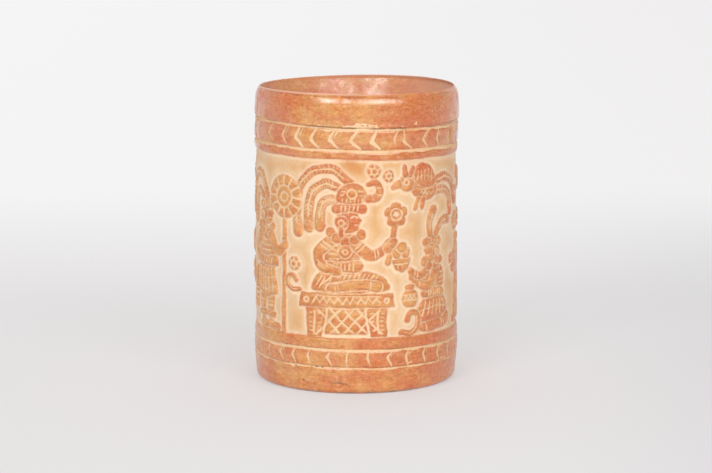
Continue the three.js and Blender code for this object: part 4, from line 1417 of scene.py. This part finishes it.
def paper_material(stage):
    """Pale paper that keeps the vase's shadow in front and glows far behind it; its glow is darker on the
    near floor and to the right, which is painted shade.
    """
    material, tree, surface = new_material("paper")
    fill(surface, {"Base Color": rgba(stage.paper), "Roughness": 0.9, "Specular IOR Level": 0.1})
    far = along(tree, "Y").stepped(0.0, 0.7)
    side = along(tree, "X").stepped(-0.5, 0.7)
    # Painted shade: the glow darkens towards the right and on the near floor.
    beside = along(tree, "X").stepped(0.06, 0.26)
    wall = blend(side, rgba(stage.far_paper), rgba(stage.far_paper_right_shade))
    floor = blend(beside, rgba(stage.near_paper), rgba(stage.near_paper_right_shade))
    glow = add(tree, "ShaderNodeEmission", {"Color": blend(far, floor, wall)})
    share = (far * 0.5 + 0.5) * seen_rays(tree)
    mixed = add(tree, "ShaderNodeMixShader",
                {0: share, 1: Signal(surface.outputs[0]), 2: Signal(glow.outputs[0])})
    fill(tree.nodes["Material Output"], {"Surface": Signal(mixed.outputs[0])})
    return material


def studio_world(stage):
    """A white room: even soft light, while the gloss sees bright paper behind and a dim room in front."""
    world = bpy.data.worlds.new("studio")
    world.use_nodes = True
    tree = world.node_tree
    behind = 0.5 - along(tree, "X").stepped(0.0, 0.8) * 0.25
    seen = along(tree, "Y").stepped(-0.6, 0.2) * behind + 0.15
    strength = seen_rays(tree) * (seen - stage.room_light) + stage.room_light
    fill(tree.nodes["Background"], {"Strength": strength, "Color": (1, 1, 1, 1)})
    return world


class VASE_OT_stage(bpy.types.Operator):
    """Make the floor, the lamps and the camera"""
    bl_idname = "vase.stage"
    bl_label = "Stage"

    def execute(self, context):
        scene = context.scene
        stage = scene.vase_stage
        paper = bpy.data.objects.new("paper_sweep", sweep())
        scene.collection.objects.link(paper)
        paper.data.materials.append(paper_material(stage))

        camera_data = bpy.data.cameras.new("camera")
        camera_data.lens = stage.camera_lens
        camera_data.sensor_width = 36
        camera = bpy.data.objects.new("camera", camera_data)
        camera.location = (0, -stage.camera_distance, stage.camera_height)
        camera.rotation_euler = (math.pi / 2 - stage.camera_pitch, 0, 0)
        scene.collection.objects.link(camera)
        scene.camera = camera

        lamp("left_softbox", -25.5, 28, 2.6, (1.3, 0.5), stage.lamp_watts)
        lamp("right_softbox", 28, 28, 2.6, (1.9, 0.5), stage.lamp_watts)
        lamp("top_softbox", 180, 88, 1.9, (2.0, 1.8), 0.5 * stage.lamp_watts, (0, 0.75, 0))
        scene.world = studio_world(stage)
        scene.view_settings.view_transform = "Standard"
        return {"FINISHED"}


PIECES = ("base_slab", "lower_band", "drum", "upper_band", "rim_collar", "corner_coil", "stage")


class VASE_PT_sidebar(bpy.types.Panel):
    """Sizes, colours and the makers of each piece"""
    bl_idname = "VASE_PT_sidebar"
    bl_label = "Carved cylinder vase"
    bl_space_type = "VIEW_3D"
    bl_region_type = "UI"
    bl_category = "Vase"

    def draw(self, context):
        column = self.layout.column()
        for settings in (context.scene.vase_sizes, context.scene.vase_colours, context.scene.vase_stage):
            for name in type(settings).__annotations__:
                column.prop(settings, name)
        for piece in PIECES:
            column.operator("vase." + piece)


CLASSES = (
    VaseSizes, VaseColours, StageSettings, VASE_OT_base_slab, VASE_OT_lower_band, VASE_OT_drum,
    VASE_OT_upper_band, VASE_OT_rim_collar, VASE_OT_corner_coil, VASE_OT_stage, VASE_PT_sidebar,
)


def register():
    for cls in CLASSES:
        bpy.utils.register_class(cls)
    bpy.types.Scene.vase_sizes = bpy.props.PointerProperty(type=VaseSizes)
    bpy.types.Scene.vase_colours = bpy.props.PointerProperty(type=VaseColours)
    bpy.types.Scene.vase_stage = bpy.props.PointerProperty(type=StageSettings)


def unregister():
    del bpy.types.Scene.vase_sizes, bpy.types.Scene.vase_colours, bpy.types.Scene.vase_stage
    for cls in reversed(CLASSES):
        bpy.utils.unregister_class(cls)


def main():
    register()
    for piece in PIECES:
        getattr(bpy.ops.vase, piece)()


if __name__ == "__main__":
    main()
